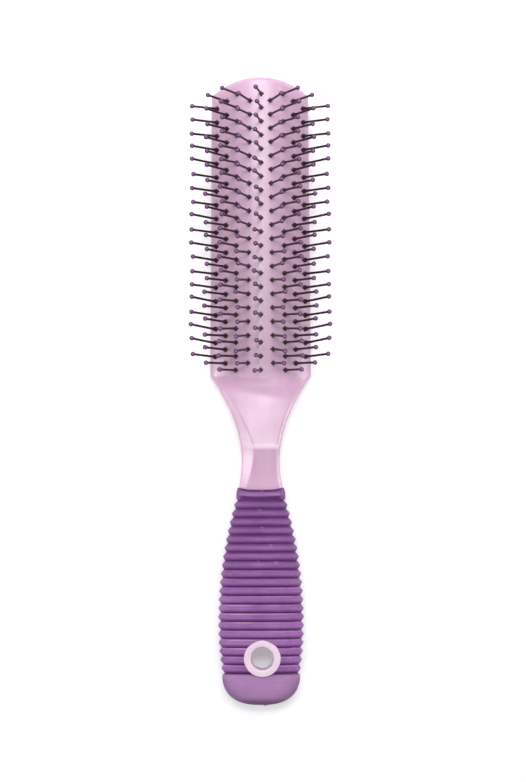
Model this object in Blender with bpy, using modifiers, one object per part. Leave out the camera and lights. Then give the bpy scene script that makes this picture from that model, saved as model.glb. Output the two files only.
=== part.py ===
"""Half-round styling brush, lying on its back with the pins up.

One moulding makes the hollow head, the neck and the tang inside the grip. Nine pin strips lie in
the head, and their pins come out through its front. A cover with three ribs closes the back and
holds the strips. A ribbed sleeve is slid over the tang, and an eyelet goes through both.
Metres, +Z up, head towards +Y, origin on the rest plane under the middle of the brush.
"""

from math import asin, atan2, cos, pi, radians, sin, sqrt

import bmesh
import bpy
from mathutils import Matrix, Vector

# Clearances
FIT_GAP = 0.0003
PIN_HOLE_GAP = 0.00025
OVERRUN = 0.002
WELD = 0.000002

# Lengths along the brush, from the tip of the head to the end of the grip
DOME_LENGTH = 0.0061
HEAD_SIDE_LENGTH = 0.0997
NECK_LENGTH = 0.0396
GRIP_LENGTH = 0.0768

# Head
HEAD_TIP_WIDTH = 0.0343
HEAD_NECK_WIDTH = 0.0358
HEAD_THICKNESS = 0.0125
CROWN_RADIUS = 0.0285
CORNER_ROUND = 0.0025
EDGE_ROUND = 0.0012
BACK_ROUND = 0.0006
SHELL_WALL = 0.0020

# Back cover and the rim round it
RIM_WIDTH = 0.0009
RIM_RISE = 0.0003
COVER_THICKNESS = 0.0018
COVER_EDGE = 0.0004
COVER_PAST_SHOULDER = 0.0008
COVER_CORNER = 0.0030
CAVITY_SHORT_OF_SHOULDER = 0.0006
RIB_THICKNESS = 0.0014
RIB_PLACE_SHARES = (0.18, 0.5, 0.82)

# Pins: column places are shares of the head's half width, at the tip and at the neck, and
# their offsets towards the neck are shares of the pitch
PIN_PITCH = 0.0049
FIRST_ROW_FROM_WALL = 0.00345
LAST_ROW_FROM_SHOULDER = 0.0022
COLUMN_TIP_SHARES = (0.026, 0.206, 0.466, 0.679, 0.882)
COLUMN_NECK_SHARES = (0.0, 0.255, 0.493, 0.696, 0.890)
COLUMN_OFFSET_SHARES = (0.0, 0.5, 0.0, 0.5, 1.0)
COLUMN_PINS_LEFT_OUT = (0, 0, 0, 0, 1)
COLUMN_LEANS = (-7.5, 16.0, 22.5, 29.0, 35.5)
PIN_REACH = 0.0143
PIN_SHAFT_WIDTH = 0.00078
PIN_BALL_WIDTH = 0.0016
PIN_FOOT_WIDTH = 0.0017
PIN_FOOT_HEIGHT = 0.0018
PIN_ROOT_WIDTH = 0.0010
RAIL_WIDTH = 0.0012
RAIL_HEIGHT = 0.0014
RAIL_END = 0.0012

# Neck: the front dips into a valley behind the head, climbs to a ridge and falls to the grip
NECK_WAIST_WIDTH = 0.0138
NECK_WAIST_FROM_HEAD = 0.0297
NECK_END_WIDTH = 0.0154
SHOULDER_POWER = 1.84
CROWN_FADE_LENGTH = 0.0100
NECK_VALLEY_HEIGHT = 0.0100
NECK_VALLEY_FROM_HEAD = 0.0085
NECK_RIDGE_HEIGHT = 0.0122
NECK_RIDGE_FROM_HEAD = 0.0251
NECK_END_HEIGHT = 0.0106
NECK_SIDE_HEIGHT = 0.0080
NECK_BACK_HEIGHT = 0.0022
NECK_BACK_ROUND = 0.0018
NECK_BROAD_BEVEL = 0.0042
NECK_SLIM_BEVEL = 0.0013
NECK_ROW_SHARES = (0.03, 0.075, 0.125, 0.18, 0.24, 0.33, 0.43, 0.53)
BEVEL_PLACE_SHARES = (0.0, 0.08, 0.39, 0.53, 0.634, 1.0)
BROAD_BEVEL_SHARES = (0.29, 0.50, 0.42, 0.64, 1.0, 0.67)

# Grip: widths and thicknesses are over the crests of the ribs, overhangs are past the neck
GRIP_WIDTH = 0.0304
GRIP_CAP_WIDTH = 0.0276
GRIP_THICKNESS = 0.0170
GRIP_CAP_THICKNESS = 0.0150
LIP_SIDE_OVERHANG = 0.0013
LIP_FRONT_OVERHANG = 0.0017
GRIP_WIDEST_FROM_END = 0.0283
GRIP_TAPER_POWER = 2.1
GRIP_SECTION_POWER = 2.8
LIP_SECTION_POWER = 6.0
CAP_LENGTH = 0.0113
CAP_POWER = 2.5
CAP_ROW_SHARES = (0.004, 0.05, 0.18, 0.4, 0.68, 1.0)
SLEEVE_WALL = 0.0010
RIB_PITCH = 0.00304
RIB_DEPTH = 0.0010
COLLAR_LENGTH = 0.0046
COLLAR_PLACE_SHARES = (0.0, 0.25, 0.75)
COLLAR_DROP_SHARES = (0.5, 0.25, 0.1)
LIP_DIP = 0.0005
TANG_PAST_EYELET = 0.0024
TANG_BLEND_LENGTH = 0.0060

# Eyelet
EYELET_FROM_GRIP_END = 0.0159
EYELET_BORE = 0.0081
EYELET_WALL = 0.00115
EYELET_RIM = 0.0013
EYELET_FLANGE_THICKNESS = 0.0013
EYELET_PROUD = 0.0003
EYELET_ROUND = 0.0005
EYELET_BACK_INSET = 0.0004

# Counts of the mesh
DOME_STEPS = 6
CORNER_STEPS = 3
GRIP_SIDES = 20
TANG_STEPS = 7
EYELET_STEPS = 24
CUTTER_SIDES = 24

# Places along the brush
GRIP_END_Y = -(DOME_LENGTH + HEAD_SIDE_LENGTH + NECK_LENGTH + GRIP_LENGTH) / 2
ENTRY_Y = GRIP_END_Y + GRIP_LENGTH
SHOULDER_Y = ENTRY_Y + NECK_LENGTH
DOME_Y = SHOULDER_Y + HEAD_SIDE_LENGTH
TIP_Y = DOME_Y + DOME_LENGTH
EYELET_Y = GRIP_END_Y + EYELET_FROM_GRIP_END

# Sizes that follow from the pieces that fit together
GRIP_ENTRY_WIDTH = NECK_END_WIDTH + 2 * LIP_SIDE_OVERHANG
GRIP_ENTRY_THICKNESS = NECK_END_HEIGHT - NECK_BACK_HEIGHT + 2 * LIP_FRONT_OVERHANG
GRIP_ENTRY_RISE = NECK_BACK_HEIGHT - LIP_FRONT_OVERHANG
GRIP_RIBS = int((GRIP_LENGTH - COLLAR_LENGTH - CAP_LENGTH) / RIB_PITCH)
EYELET_BARREL = EYELET_BORE + 2 * EYELET_WALL
EYELET_FLANGE = EYELET_BARREL + 2 * EYELET_RIM
TANG_END_FROM_GRIP_END = EYELET_FROM_GRIP_END - EYELET_BARREL / 2 - FIT_GAP - TANG_PAST_EYELET

LILAC = (0.70, 0.49, 0.63, 1.0)
PALE_LILAC = (0.80, 0.62, 0.76, 1.0)
GRIP_PURPLE = (0.24, 0.13, 0.37, 1.0)
PIN_PURPLE = (0.07, 0.03, 0.08, 1.0)


def mix(a, b, share):
    return a + (b - a) * share


def smooth(share):
    """Ease a share that is held between 0 and 1."""
    share = min(max(share, 0.0), 1.0)
    return share * share * (3 - 2 * share)


def read_table(places, values, place):
    """Value at a place in a table, straight between its points."""
    for (low, first), (high, second) in zip(zip(places, values), zip(places[1:], values[1:])):
        if place <= high:
            return mix(first, second, max(place - low, 0.0) / (high - low))
    return values[-1]


def clear_scene():
    for item in list(bpy.data.objects):
        bpy.data.objects.remove(item, do_unlink=True)


def new_collection(name, hidden=False):
    group = bpy.data.collections.new(name)
    group.hide_render = hidden
    bpy.context.scene.collection.children.link(group)
    return group


def plastic(name, colour, roughness):
    material = bpy.data.materials.new(name)
    material.use_nodes = True
    shader = material.node_tree.nodes["Principled BSDF"]
    shader.inputs["Base Color"].default_value = colour
    shader.inputs["Roughness"].default_value = roughness
    shader.inputs["Metallic"].default_value = 0.0
    return material


def add_object(name, mesh, group, material=None):
    item = bpy.data.objects.new(name, mesh)
    group.objects.link(item)
    if material is None:
        item.hide_render = True
        item.display_type = "WIRE"
    else:
        mesh.materials.append(material)
        mesh.shade_smooth()
        mesh.set_sharp_from_angle(angle=radians(35))
    return item


def finish_mesh(name, shape):
    """Weld the shape, face it outwards and hand it over as a mesh."""
    bmesh.ops.remove_doubles(shape, verts=shape.verts, dist=WELD)
    bmesh.ops.recalc_face_normals(shape, faces=shape.faces)
    mesh = bpy.data.meshes.new(name)
    shape.to_mesh(mesh)
    shape.free()
    return mesh


def add_loft(shape, rings):
    """Skin a row of rings with as many points each, and close both ends."""
    rows = [[shape.verts.new(point) for point in ring] for ring in rings]
    for first, second in zip(rows, rows[1:]):
        for i in range(len(first)):
            j = (i + 1) % len(first)
            shape.faces.new((first[i], first[j], second[j], second[i]))
    shape.faces.new(rows[0])
    shape.faces.new(rows[-1])


def loft_mesh(name, rings):
    shape = bmesh.new()
    add_loft(shape, rings)
    return finish_mesh(name, shape)


def mesh_from_curve(name, outline, half_depth, matrix, bevel=0.0):
    """A filled flat outline with thickness, made a welded mesh in world places."""
    curve = bpy.data.curves.new(name, "CURVE")
    curve.dimensions = "2D"
    curve.fill_mode = "BOTH"
    curve.extrude = half_depth - bevel
    curve.bevel_depth = bevel
    curve.bevel_resolution = 0
    curve.offset = -bevel
    spline = curve.splines.new("POLY")
    spline.points.add(len(outline) - 1)
    for point, (x, y) in zip(spline.points, outline):
        point.co = (x, y, 0.0, 1.0)
    spline.use_cyclic_u = True
    drawn = bpy.data.objects.new(name, curve)
    drawn.matrix_world = matrix
    bpy.context.scene.collection.objects.link(drawn)
    bpy.context.view_layer.update()
    evaluated = drawn.evaluated_get(bpy.context.evaluated_depsgraph_get())
    source = bpy.data.meshes.new_from_object(evaluated)
    shape = bmesh.new()
    shape.from_mesh(source)
    bmesh.ops.transform(shape, matrix=matrix, verts=shape.verts)
    bpy.data.objects.remove(drawn, do_unlink=True)
    bpy.data.meshes.remove(source)
    return finish_mesh(name, shape)


def cylinder_mesh(name, radius, low, high, y):
    shape = bmesh.new()
    place = Matrix.Translation((0.0, y, (low + high) / 2))
    bmesh.ops.create_cone(
        shape, cap_ends=True, segments=CUTTER_SIDES, radius1=radius, radius2=radius,
        depth=high - low, matrix=place,
    )
    return finish_mesh(name, shape)


def add_boolean(item, other, operation):
    modifier = item.modifiers.new(other.name, "BOOLEAN")
    modifier.operation = operation
    modifier.object = other


def crown_height(x, inward=0.0):
    """Height of the half-round front over a place across the head, or of a surface inside it."""
    radius = CROWN_RADIUS - inward
    return HEAD_THICKNESS - CROWN_RADIUS + sqrt(radius * radius - x * x)


def head_half_width(y):
    return mix(HEAD_NECK_WIDTH, HEAD_TIP_WIDTH, (y - SHOULDER_Y) / HEAD_SIDE_LENGTH) / 2


def dome_stations():
    """Outline points of the right half of the dome with their outward normals, tip first."""
    half = HEAD_TIP_WIDTH / 2
    radius = (half * half + DOME_LENGTH * DOME_LENGTH) / (2 * DOME_LENGTH)
    centre_y = TIP_Y - radius
    corner_x = half - CORNER_ROUND
    meeting = asin(corner_x / (radius - CORNER_ROUND))
    corner_y = centre_y + (radius - CORNER_ROUND) * cos(meeting)
    stations = []
    for step in range(DOME_STEPS):
        angle = meeting * step / DOME_STEPS
        stations.append((radius * sin(angle), centre_y + radius * cos(angle), angle))
    for step in range(CORNER_STEPS + 1):
        angle = mix(meeting, pi / 2, step / CORNER_STEPS)
        x = corner_x + CORNER_ROUND * sin(angle)
        stations.append((x, corner_y + CORNER_ROUND * cos(angle), angle))
    return stations


def column_place(side, column, y):
    """How far a pin column stands from the axis. The middle one is column 0."""
    share = mix(
        COLUMN_NECK_SHARES[column], COLUMN_TIP_SHARES[column], (y - SHOULDER_Y) / HEAD_SIDE_LENGTH
    )
    return side * share * head_half_width(y)


def facet_shares(place):
    """Facet edges midway between pin columns, as shares of the half width, outermost first."""
    columns = [mix(neck, tip, place) for neck, tip in zip(COLUMN_NECK_SHARES, COLUMN_TIP_SHARES)]
    columns[0] = 0.0
    return [(a + b) / 2 for a, b in zip(columns, columns[1:])][::-1]


def mirrored_ring(side):
    """A ring from the points of its right half, given from the back up to the axis."""
    return [(-x, y, z) for x, y, z in side] + [(x, y, z) for x, y, z in reversed(side)]


def head_ring(x, y, angle, place):
    """Section of the head that fans out round the dome with the outline's normal."""
    across, along = sin(angle), cos(angle)
    inner_x, inner_y = x - across * EDGE_ROUND, y - along * EDGE_ROUND
    side = [
        (x - across * BACK_ROUND, y - along * BACK_ROUND, RIM_RISE),
        (x, y, RIM_RISE + BACK_ROUND),
        (x, y, crown_height(inner_x) - EDGE_ROUND),
        (inner_x, inner_y, crown_height(inner_x)),
    ]
    for share in facet_shares(place):
        side.append((share * x, inner_y, crown_height(share * x)))
    return mirrored_ring(side)


def neck_half_width(distance):
    """Half width of the neck at a distance from the head's end."""
    if distance < NECK_WAIST_FROM_HEAD:
        share = (1 - distance / NECK_WAIST_FROM_HEAD) ** SHOULDER_POWER
        return mix(NECK_WAIST_WIDTH, HEAD_NECK_WIDTH, share) / 2
    share = (distance - NECK_WAIST_FROM_HEAD) / (NECK_LENGTH - NECK_WAIST_FROM_HEAD)
    return mix(NECK_WAIST_WIDTH, NECK_END_WIDTH, share * share) / 2


def neck_front_height(x, distance):
    """The head's crown fades into a facet that climbs to the ridge, then falls to the grip."""
    if distance < NECK_RIDGE_FROM_HEAD:
        climb = (distance - NECK_VALLEY_FROM_HEAD) / (NECK_RIDGE_FROM_HEAD - NECK_VALLEY_FROM_HEAD)
        facet = mix(NECK_VALLEY_HEIGHT, NECK_RIDGE_HEIGHT, climb)
    else:
        fall = (distance - NECK_RIDGE_FROM_HEAD) / (NECK_LENGTH - NECK_RIDGE_FROM_HEAD)
        facet = mix(NECK_RIDGE_HEIGHT, NECK_END_HEIGHT, fall)
    return mix(crown_height(x), facet, smooth(distance / CROWN_FADE_LENGTH))


def neck_ring(distance):
    """Section of the neck, with a broad bevel on the left and a slim one on the right."""
    y = SHOULDER_Y - distance
    share = distance / NECK_LENGTH
    half = neck_half_width(distance)
    fade = smooth(distance / CROWN_FADE_LENGTH)
    broad = NECK_BROAD_BEVEL * read_table(BEVEL_PLACE_SHARES, BROAD_BEVEL_SHARES, share)
    slim = mix(EDGE_ROUND, NECK_SLIM_BEVEL, fade)
    left, right = broad - half, half - slim
    edge = crown_height(head_half_width(SHOULDER_Y) - EDGE_ROUND) - EDGE_ROUND
    wall_top = mix(edge, NECK_SIDE_HEIGHT, fade)
    back = mix(RIM_RISE, NECK_BACK_HEIGHT, share)
    rounding = mix(BACK_ROUND, NECK_BACK_ROUND, share)
    facets = facet_shares(0.0)
    inner = 1 - EDGE_ROUND / head_half_width(SHOULDER_Y)
    spread = [-edge_share for edge_share in facets] + facets[::-1]
    front = [mix(left, right, (place / inner + 1) / 2) for place in spread]
    return (
        [(rounding - half, y, back), (-half, y, back + rounding), (-half, y, wall_top)]
        + [(x, y, neck_front_height(x, distance)) for x in [left] + front + [right]]
        + [(half, y, wall_top), (half, y, back + rounding), (half - rounding, y, back)]
    )


def grip_half(from_end, full, entry, cap):
    """Half width or half thickness of the grip over its ribs, by distance from its end."""
    ribs_top = GRIP_LENGTH - COLLAR_LENGTH
    if from_end > GRIP_WIDEST_FROM_END:
        share = min((from_end - GRIP_WIDEST_FROM_END) / (ribs_top - GRIP_WIDEST_FROM_END), 1.0)
        return mix(full, entry, share**GRIP_TAPER_POWER) / 2
    if from_end > CAP_LENGTH:
        share = (GRIP_WIDEST_FROM_END - from_end) / (GRIP_WIDEST_FROM_END - CAP_LENGTH)
        return mix(full, cap, share * share) / 2
    share = 1 - from_end / CAP_LENGTH
    return cap / 2 * (1 - share**CAP_POWER) ** (1 / CAP_POWER)


def grip_section(from_end):
    """Half width, half thickness, middle height and roundness of the grip over its ribs."""
    half_width = grip_half(from_end, GRIP_WIDTH, GRIP_ENTRY_WIDTH, GRIP_CAP_WIDTH)
    half_thick = grip_half(from_end, GRIP_THICKNESS, GRIP_ENTRY_THICKNESS, GRIP_CAP_THICKNESS)
    upper = max(from_end - GRIP_WIDEST_FROM_END, 0.0) / (GRIP_LENGTH - GRIP_WIDEST_FROM_END)
    seated = half_thick if from_end > CAP_LENGTH else GRIP_CAP_THICKNESS / 2
    middle = seated + GRIP_ENTRY_RISE * upper
    power = mix(GRIP_SECTION_POWER, LIP_SECTION_POWER, upper * upper)
    return half_width, half_thick, middle, power


def rounded_point(half_width, half_thick, power, angle):
    """Point of a rounded-rectangle section in the direction of an angle."""
    across, up = cos(angle), sin(angle)
    x = half_width * abs(across) ** (2 / power) * (1 if across >= 0 else -1)
    z = half_thick * abs(up) ** (2 / power) * (1 if up >= 0 else -1)
    return x, z


def grip_ring(from_end, inward, dip=0.0):
    """Ring round the grip, set in from the crest line. The dip draws its front down."""
    half_width, half_thick, middle, power = grip_section(from_end)
    ring = []
    for step in range(GRIP_SIDES):
        angle = 2 * pi * step / GRIP_SIDES
        x, z = rounded_point(half_width - inward, half_thick - inward, power, angle)
        ring.append((x, GRIP_END_Y + from_end - dip * max(sin(angle), 0.0) ** 2, middle + z))
    return ring


def sleeve_inward(from_end):
    """How far the sleeve's bore lies inside its crest line: it opens out round the neck."""
    bore = RIB_DEPTH + SLEEVE_WALL
    lip = LIP_SIDE_OVERHANG - FIT_GAP
    return mix(bore, lip, smooth(1 - (GRIP_LENGTH - from_end) / COLLAR_LENGTH))


def bore_places():
    """Places along the bore of the sleeve, from the lip to its closed end."""
    last = TANG_END_FROM_GRIP_END - FIT_GAP
    shares = [step / TANG_STEPS for step in range(TANG_STEPS + 1)]
    return [mix(GRIP_LENGTH, last, share) for share in shares]


def tang_ring(from_end, entry_ring):
    """Ring of the tang. It starts as the neck's own section and soon fills the bore."""
    half_width, half_thick, middle, power = grip_section(from_end)
    inward = sleeve_inward(from_end) + FIT_GAP
    half_width, half_thick = half_width - inward, half_thick - inward
    blend = smooth((GRIP_LENGTH - from_end) / TANG_BLEND_LENGTH)
    ring = []
    for x, _, z in entry_ring:
        across, up = x / half_width, (z - middle) / half_thick
        angle = atan2(
            abs(up) ** (power / 2) * (1 if up >= 0 else -1),
            abs(across) ** (power / 2) * (1 if across >= 0 else -1),
        )
        full_x, full_z = rounded_point(half_width, half_thick, power, angle)
        ring.append((mix(x, full_x, blend), GRIP_END_Y + from_end, mix(z, middle + full_z, blend)))
    return ring


def body_rings():
    """Rings of the whole moulding, from the tip of the head to the end of the tang."""
    rings = [head_ring(x, y, angle, 1.0) for x, y, angle in dome_stations()]
    rings.append(head_ring(head_half_width(SHOULDER_Y), SHOULDER_Y, pi / 2, 0.0))
    distances = [share * NECK_LENGTH for share in NECK_ROW_SHARES]
    distances += [NECK_RIDGE_FROM_HEAD, NECK_WAIST_FROM_HEAD, NECK_LENGTH]
    rings += [neck_ring(distance) for distance in sorted(distances)]
    entry = rings[-1]
    places = bore_places()[1:-1]
    places = [mix(GRIP_LENGTH, places[0], 0.5)] + places + [TANG_END_FROM_GRIP_END]
    rings += [tang_ring(place, entry) for place in places]
    return rings


def plan_outline(inset, past_shoulder, corner):
    """Outline of the head's back, set in, with round corners at its neck end."""
    side = []
    for x, y, angle in dome_stations():
        side.append((x - sin(angle) * inset, y - cos(angle) * inset))
    end_y = SHOULDER_Y - past_shoulder
    half = head_half_width(end_y + corner) - inset
    for step in range(CORNER_STEPS + 1):
        angle = pi / 2 * step / CORNER_STEPS
        x = half - corner + corner * cos(angle)
        side.append((x, end_y + corner - corner * sin(angle)))
    left = [(-x, y) for x, y in reversed(side[1:])]
    return side + left


def head_arc(inward, half):
    """The crown, or a surface inside it, as facets from right to left across the head."""
    radius = CROWN_RADIUS - inward
    places = [share * head_half_width(SHOULDER_Y) * radius / CROWN_RADIUS
              for share in facet_shares(0.5)]
    places = [place for place in places if place < half]
    places = [half, (half + places[0]) / 2] + places
    points = [(x, crown_height(x, inward)) for x in places]
    return points + [(-x, z) for x, z in reversed(points)]


def across_matrix(y):
    """Stands a flat outline up across the brush, so that its second number is a height."""
    return Matrix.Translation((0.0, y, 0.0)) @ Matrix.Rotation(pi / 2, 4, "X")


def make_cavity(cutters):
    """Hollow of the head: its plan, cut to the inside of the crown."""
    deep = HEAD_THICKNESS + 2 * OVERRUN
    outline = plan_outline(SHELL_WALL, -CAVITY_SHORT_OF_SHOULDER, COVER_CORNER)
    lift = Matrix.Translation((0.0, 0.0, deep / 2 - OVERRUN))
    plan = add_object("cavity", mesh_from_curve("cavity", outline, deep / 2, lift), cutters)
    half = HEAD_NECK_WIDTH / 2
    arc = head_arc(SHELL_WALL, half) + [(-half, -2 * OVERRUN), (half, -2 * OVERRUN)]
    middle = (TIP_Y + SHOULDER_Y) / 2
    half_length = (TIP_Y - SHOULDER_Y) / 2 + OVERRUN
    crown = mesh_from_curve("cavity_crown", arc, half_length, across_matrix(middle))
    add_boolean(plan, add_object("cavity_crown", crown, cutters), "INTERSECT")
    return plan


def make_rebate(cutters):
    """Seat of the back cover in the rim of the head."""
    top = COVER_THICKNESS + FIT_GAP
    outline = plan_outline(RIM_WIDTH, COVER_PAST_SHOULDER + FIT_GAP, COVER_CORNER)
    lift = Matrix.Translation((0.0, 0.0, (top - OVERRUN) / 2))
    mesh = mesh_from_curve("cover_seat", outline, (top + OVERRUN) / 2, lift)
    return add_object("cover_seat", mesh, cutters)


def column_rows(column):
    """Places of a column's pins along the brush, as many as the head has room for."""
    first = TIP_Y - SHELL_WALL - FIRST_ROW_FROM_WALL - COLUMN_OFFSET_SHARES[column] * PIN_PITCH
    room = first - SHOULDER_Y - LAST_ROW_FROM_SHOULDER
    pins = int(room / PIN_PITCH) + 1 - COLUMN_PINS_LEFT_OUT[column]
    return [first - row * PIN_PITCH for row in range(pins)]


def pin_frames(side, column):
    """Foot point on the crown, pin direction and sideways direction of each pin of a column."""
    lean = radians(COLUMN_LEANS[column]) * side
    direction = Vector((sin(lean), 0.0, cos(lean)))
    sideways = Vector((cos(lean), 0.0, -sin(lean)))
    frames = []
    for y in column_rows(column):
        x = column_place(side, column, y)
        frames.append((Vector((x, y, crown_height(x))), direction, sideways))
    return frames


def pin_ring(frame, along, half_width):
    """Four corners round a pin, pointing along and across the brush."""
    foot, direction, sideways = frame
    centre = foot + direction * along
    lengthways = Vector((0.0, half_width, 0.0))
    return [centre + sideways * half_width, centre + lengthways,
            centre - sideways * half_width, centre - lengthways]


def make_pin_holes(columns, cutters):
    """One cutter holds the holes of all the pins, each along its pin."""
    shape = bmesh.new()
    half = PIN_FOOT_WIDTH / 2 + PIN_HOLE_GAP * sqrt(2)
    for side, column in columns:
        for frame in pin_frames(side, column):
            depths = (-SHELL_WALL - OVERRUN, OVERRUN)
            add_loft(shape, [pin_ring(frame, depth, half) for depth in depths])
    return add_object("pin_holes", finish_mesh("pin_holes", shape), cutters)


def rail_depth():
    """Depth of a rail's middle under the crown, along the pins."""
    return SHELL_WALL + FIT_GAP + RAIL_HEIGHT / 2


def make_rail(name, side, column):
    """Bar under the head's front that carries one column of pins."""
    frames = pin_frames(side, column)
    first, last = frames[0][0], frames[-1][0]
    along = (first - last).normalized()
    middle = (first + last) / 2
    tilt = asin(middle.x / CROWN_RADIUS)
    normal = Vector((sin(tilt), 0.0, cos(tilt)))
    direction = frames[0][1]
    centre = middle - direction * (rail_depth() / direction.dot(normal))
    across = along.cross(normal).normalized()
    up = across.cross(along)
    turn = Matrix((across, along, up)).transposed().to_4x4()
    length = (first - last).length + 2 * RAIL_END
    shape = bmesh.new()
    bmesh.ops.create_cube(shape, size=1.0)
    bmesh.ops.scale(shape, vec=(RAIL_WIDTH, length, RAIL_HEIGHT), verts=shape.verts)
    bmesh.ops.transform(shape, matrix=Matrix.Translation(centre) @ turn, verts=shape.verts)
    return finish_mesh(name, shape)


def make_pins(name, side, column):
    """All pins of a column: foot, shaft and ball, each rooted in the rail."""
    ball = PIN_BALL_WIDTH / 2
    shaft = PIN_SHAFT_WIDTH / 2
    neck = PIN_REACH - sqrt(ball * ball - shaft * shaft)
    profile = (
        (-rail_depth(), PIN_ROOT_WIDTH / 2), (0.0, PIN_FOOT_WIDTH / 2), (PIN_FOOT_HEIGHT, shaft),
        (neck, shaft), (PIN_REACH, ball), (PIN_REACH + ball, WELD / 4),
    )
    shape = bmesh.new()
    for frame in pin_frames(side, column):
        add_loft(shape, [pin_ring(frame, along, half) for along, half in profile])
    return finish_mesh(name, shape)


def column_name(side, column):
    if column == 0:
        return "pin_strip_centre"
    return f"pin_strip_{'left' if side < 0 else 'right'}_{column}"


def make_strips(columns, parts, cutters, material):
    for side, column in columns:
        name = column_name(side, column)
        strip = add_object(name, make_rail(name, side, column), parts, material)
        pins = add_object(name + "_pins", make_pins(name, side, column), cutters)
        add_boolean(strip, pins, "UNION")


def eyelet_top():
    """Height of the eyelet's flange, a little over the ribs there."""
    _, half_thick, middle, _ = grip_section(EYELET_FROM_GRIP_END)
    return middle + half_thick + EYELET_PROUD


def cut_for_eyelet(item, cutters):
    """Hole for the eyelet's barrel through a piece, and the seat of its flange."""
    top = GRIP_THICKNESS + OVERRUN
    floor = eyelet_top() - EYELET_FLANGE_THICKNESS - FIT_GAP
    for purpose, width, low in (("hole", EYELET_BARREL, -OVERRUN), ("seat", EYELET_FLANGE, floor)):
        name = f"{item.name}_{purpose}"
        cutter = cylinder_mesh(name, width / 2 + FIT_GAP, low, top, EYELET_Y)
        add_boolean(item, add_object(name, cutter, cutters), "DIFFERENCE")


def make_body(columns, parts, cutters, material):
    body = add_object("body", loft_mesh("body", body_rings()), parts, material)
    add_boolean(body, make_cavity(cutters), "DIFFERENCE")
    add_boolean(body, make_rebate(cutters), "DIFFERENCE")
    add_boolean(body, make_pin_holes(columns, cutters), "DIFFERENCE")
    cut_for_eyelet(body, cutters)


def make_cover(parts, cutters, material):
    """Flat plate with three cross ribs that reach up to the pin strips."""
    outline = plan_outline(RIM_WIDTH + FIT_GAP, COVER_PAST_SHOULDER, COVER_CORNER)
    lift = Matrix.Translation((0.0, 0.0, COVER_THICKNESS / 2))
    plate = mesh_from_curve("back_cover", outline, COVER_THICKNESS / 2, lift, COVER_EDGE)
    cover = add_object("back_cover", plate, parts, material)
    inward = SHELL_WALL + RAIL_HEIGHT + 2 * FIT_GAP
    for number, share in enumerate(RIB_PLACE_SHARES, 1):
        y = mix(DOME_Y, SHOULDER_Y, share)
        half = head_half_width(y) - SHELL_WALL - 2 * FIT_GAP
        sunk = COVER_THICKNESS / 2
        arc = head_arc(inward, half) + [(-half, sunk), (half, sunk)]
        name = f"cover_rib_{number}"
        rib = mesh_from_curve(name, arc, RIB_THICKNESS / 2, across_matrix(y))
        add_boolean(cover, add_object(name, rib, cutters), "UNION")


def make_sleeve(parts, cutters, material):
    """Ribbed rubber sleeve: outside from its closed end to the lip, then down the bore."""
    rings = [grip_ring(CAP_LENGTH * share, 0.0) for share in CAP_ROW_SHARES]
    first_groove = GRIP_LENGTH - COLLAR_LENGTH
    for rib in range(GRIP_RIBS, 0, -1):
        groove = first_groove - rib * RIB_PITCH
        rings.append(grip_ring(groove, RIB_DEPTH))
        rings.append(grip_ring(groove + RIB_PITCH / 2, 0.0))
    rings.append(grip_ring(first_groove, RIB_DEPTH))
    for place, drop in reversed(list(zip(COLLAR_PLACE_SHARES, COLLAR_DROP_SHARES))):
        dip = LIP_DIP * (1 - place)
        rings.append(grip_ring(GRIP_LENGTH - place * COLLAR_LENGTH, drop * RIB_DEPTH, dip))
    for place in bore_places():
        dip = LIP_DIP if place == GRIP_LENGTH else 0.0
        rings.append(grip_ring(place, sleeve_inward(place), dip))
    sleeve = add_object("grip_sleeve", loft_mesh("grip_sleeve", rings), parts, material)
    cut_for_eyelet(sleeve, cutters)


def make_eyelet(parts, material):
    """Turned bush with a flange in front. Its profile runs down the outside and up the bore."""
    top = eyelet_top()
    flange, barrel, bore = EYELET_FLANGE / 2, EYELET_BARREL / 2, EYELET_BORE / 2
    under = top - EYELET_FLANGE_THICKNESS
    profile = (
        (bore + EYELET_ROUND, top), (flange - EYELET_ROUND, top), (flange, top - EYELET_ROUND),
        (flange, under), (barrel, under), (barrel, EYELET_BACK_INSET),
        (bore, EYELET_BACK_INSET), (bore, top - EYELET_ROUND),
    )
    shape = bmesh.new()
    points = [shape.verts.new((x, 0.0, z)) for x, z in profile]
    for first, second in zip(points, points[1:] + points[:1]):
        shape.edges.new((first, second))
    mesh = bpy.data.meshes.new("hanging_eyelet")
    shape.to_mesh(mesh)
    shape.free()
    eyelet = add_object("hanging_eyelet", mesh, parts, material)
    eyelet.location = (0.0, EYELET_Y, 0.0)
    screw = eyelet.modifiers.new("turn", "SCREW")
    screw.axis = "Z"
    screw.steps = EYELET_STEPS
    screw.render_steps = EYELET_STEPS
    screw.use_merge_vertices = True
    screw.merge_threshold = WELD
    screw.use_smooth_shade = True


def main():
    clear_scene()
    parts = new_collection("styling_brush")
    cutters = new_collection("cutters", hidden=True)
    columns = [(1, 0)] + [(side, column) for column in range(1, 5) for side in (-1, 1)]
    make_body(columns, parts, cutters, plastic("lilac_plastic", LILAC, 0.28))
    make_cover(parts, cutters, plastic("cover_plastic", LILAC, 0.30))
    make_strips(columns, parts, cutters, plastic("pin_nylon", PIN_PURPLE, 0.35))
    make_sleeve(parts, cutters, plastic("grip_rubber", GRIP_PURPLE, 0.55))
    make_eyelet(parts, plastic("eyelet_plastic", PALE_LILAC, 0.30))


main()
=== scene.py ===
"""Styling brush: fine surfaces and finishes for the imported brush, on a plain pale floor.

The frame holds the thirteen solids of the brush. Each is replaced by a finer mesh in the same
place: the lilac moulding, its back cover, nine nylon pin strips, the ribbed rubber sleeve and
the hanging eyelet. Metres, +Z up, head towards +Y, origin on the rest plane under the brush.
"""

import random
from math import asin, atan2, cos, pi, radians, sin, sqrt, tan

import bmesh
import bpy
from bpy.props import FloatProperty, FloatVectorProperty, PointerProperty
from mathutils import Matrix, Vector


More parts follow.
